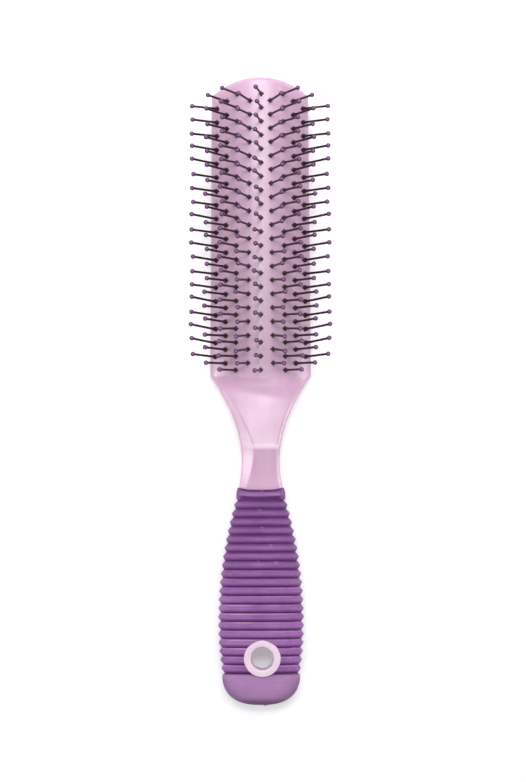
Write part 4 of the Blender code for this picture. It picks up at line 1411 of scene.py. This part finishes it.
def floor_paint(brush):
    """Pale matt floor that reads as white to the camera, and keeps the shadow of the brush."""
    skin = Finish("pale_floor")
    pale = brush.finishes.floor
    base = skin.blend(skin.clouds(6.0, 0.3, 0.7, detail=2.0), pale, scaled(pale, 1.02))
    skin.wear(base, skin.clouds(40.0, 0.3, 0.7, 0.80, 0.90, detail=2.0))
    away = skin.node("ShaderNodeVectorMath", (skin.place,), operation="LENGTH")
    level = skin.spread(away.outputs["Value"], 0.30, 1.50, 0.28, 0.90)
    glow = skin.node("ShaderNodeEmission")
    feed(skin.tree, glow.inputs["Strength"], skin.times(seen_share(skin.tree), level))
    both = skin.node("ShaderNodeAddShader", (skin.shader.outputs["BSDF"], glow.outputs["Emission"]))
    feed(skin.tree, skin.tree.nodes["Material Output"].inputs["Surface"], both.outputs["Shader"])
    return skin.material


def add_floor(brush):
    """Large flat floor, just under the brush."""
    shape = bmesh.new()
    cells = FLOOR_CELLS
    bmesh.ops.create_grid(shape, x_segments=cells, y_segments=cells, size=FLOOR_HALF)
    mesh = finish_shape("floor", shape)
    mesh.materials.append(floor_paint(brush))
    floor = bpy.data.objects.new("floor", mesh)
    floor.location.z = FRAME_LOW.z - brush.head.fit_gap
    bpy.context.scene.collection.objects.link(floor)


def add_lamp(name, radiance):
    """Soft box of a given radiance, turned to its place."""
    width, height, place, aim, spread = LAMPS[name]
    lamp = bpy.data.lights.new(name, "AREA")
    lamp.spread = radians(spread)
    lamp.shape = "RECTANGLE"
    lamp.size, lamp.size_y = width, height
    lamp.energy = radiance * pi * width * height
    item = bpy.data.objects.new(name, lamp)
    item.location = place
    item.rotation_mode = "QUATERNION"
    item.rotation_quaternion = (Vector(aim) - Vector(place)).to_track_quat("-Z", "Y")
    bpy.context.scene.collection.objects.link(item)


def set_world(strength):
    """White all round. What the camera, glossy skins and glass see of it is plain white."""
    world = bpy.data.worlds.new("studio")
    world.use_nodes = True
    tree = world.node_tree
    level = add_node(tree, "ShaderNodeMix", (seen_share(tree),), data_type="FLOAT")
    level.inputs["A"].default_value = strength
    level.inputs["B"].default_value = 1.0
    back = tree.nodes["Background"]
    back.inputs["Color"].default_value = (1.0, 1.0, 1.0, 1.0)
    feed(tree, back.inputs["Strength"], level.outputs[0])
    bpy.context.scene.world = world


def add_camera(studio):
    """Camera over the brush, a little towards the grip, with the head up in the picture."""
    data = bpy.data.cameras.new("camera")
    data.lens = studio.lens
    data.sensor_width = SENSOR_WIDTH
    data.clip_start, data.clip_end = CLIP_START, CLIP_END
    camera = bpy.data.objects.new("camera", data)
    back = Vector((0.0, -sin(studio.pitch), cos(studio.pitch)))
    camera.location = Vector((studio.aim_x, studio.aim_y, 0.0)) + back * studio.distance
    up = Vector((0.0, cos(studio.pitch), sin(studio.pitch)))
    turn = Matrix((up.cross(back), up, back)).transposed() @ Matrix.Rotation(studio.roll, 3, "Z")
    camera.rotation_mode = "QUATERNION"
    camera.rotation_quaternion = turn.to_quaternion()
    bpy.context.scene.collection.objects.link(camera)
    bpy.context.scene.camera = camera


class BRUSH_OT_moulding(bpy.types.Operator):
    """Make the lilac moulding of head, neck and tang"""

    bl_idname = "styling_brush.moulding"
    bl_label = "Head and neck"

    def execute(self, context):
        brush = Brush(context.scene.styling_brush)
        mesh = body_mesh(brush)
        add_piece("lilac_body", mesh, lilac_plastic(brush), "body")
        return {"FINISHED"}


class BRUSH_OT_cover(bpy.types.Operator):
    """Make the plate that closes the back of the head"""

    bl_idname = "styling_brush.cover"
    bl_label = "Back cover"

    def execute(self, context):
        brush = Brush(context.scene.styling_brush)
        mesh = cover_mesh(brush)
        material = lilac_plastic(brush, "cover_plastic")
        add_piece("back_plate", mesh, material, "back_cover")
        return {"FINISHED"}


class BRUSH_OT_pins(bpy.types.Operator):
    """Make the nine strips of pins"""

    bl_idname = "styling_brush.pins"
    bl_label = "Pin strips"

    def execute(self, context):
        brush = Brush(context.scene.styling_brush)
        material = pin_nylon(brush)
        for side, column in pin_columns():
            name = column_name(side, column)
            mesh = strip_mesh(brush, side, column)
            add_piece(f"pins_{name}", mesh, material, f"pin_strip_{name}")
        return {"FINISHED"}


class BRUSH_OT_grip(bpy.types.Operator):
    """Make the ribbed rubber sleeve"""

    bl_idname = "styling_brush.grip"
    bl_label = "Grip sleeve"

    def execute(self, context):
        brush = Brush(context.scene.styling_brush)
        mesh = sleeve_mesh(brush)
        add_piece("ribbed_sleeve", mesh, grip_rubber(brush), "grip_sleeve")
        return {"FINISHED"}


class BRUSH_OT_eyelet(bpy.types.Operator):
    """Make the eyelet that the brush hangs from"""

    bl_idname = "styling_brush.eyelet"
    bl_label = "Hanging eyelet"

    def execute(self, context):
        brush = Brush(context.scene.styling_brush)
        mesh = eyelet_mesh(brush)
        add_piece("eyelet_bush", mesh, eyelet_plastic(brush), "hanging_eyelet")
        return {"FINISHED"}


class BRUSH_OT_stage(bpy.types.Operator):
    """Make the floor, the lamps and the camera"""

    bl_idname = "styling_brush.stage"
    bl_label = "Floor, lamps and camera"

    def execute(self, context):
        brush = Brush(context.scene.styling_brush)
        studio = brush.studio
        add_floor(brush)
        set_world(studio.fill)
        for name in LAMPS:
            add_lamp(name, getattr(studio, name))
        add_camera(studio)
        context.scene.view_settings.view_transform = "Standard"
        return {"FINISHED"}


OPERATORS = (
    BRUSH_OT_moulding, BRUSH_OT_cover, BRUSH_OT_pins, BRUSH_OT_grip, BRUSH_OT_eyelet, BRUSH_OT_stage
)


class BRUSH_PT_panel(bpy.types.Panel):
    """Sidebar panel that lists the pieces of the brush and their settings"""

    bl_idname = "BRUSH_PT_panel"
    bl_label = "Styling brush"
    bl_space_type = "VIEW_3D"
    bl_region_type = "UI"
    bl_category = "Styling brush"

    def draw(self, context):
        brush = context.scene.styling_brush
        for operator in OPERATORS:
            self.layout.operator(operator.bl_idname)
        for group in (brush.head, brush.pins, brush.neck, brush.grip, brush.eyelet,
                      brush.finishes, brush.studio):
            box = self.layout.box()
            for key in group.bl_rna.properties.keys():
                if key not in ("rna_type", "name"):
                    box.prop(group, key)


GROUPS = (
    BrushHeadSizes, BrushPinSizes, BrushNeckSizes, BrushGripSizes, BrushEyeletSizes,
    BrushFinishes, BrushStudio, StylingBrush,
)


def register():
    for made in GROUPS + OPERATORS + (BRUSH_PT_panel,):
        bpy.utils.register_class(made)
    bpy.types.Scene.styling_brush = PointerProperty(type=StylingBrush)


def unregister():
    del bpy.types.Scene.styling_brush
    for made in reversed(GROUPS + OPERATORS + (BRUSH_PT_panel,)):
        bpy.utils.unregister_class(made)


def main():
    register()
    bpy.ops.styling_brush.moulding()
    bpy.ops.styling_brush.cover()
    bpy.ops.styling_brush.pins()
    bpy.ops.styling_brush.grip()
    bpy.ops.styling_brush.eyelet()
    bpy.ops.styling_brush.stage()


if __name__ == "__main__":
    main()
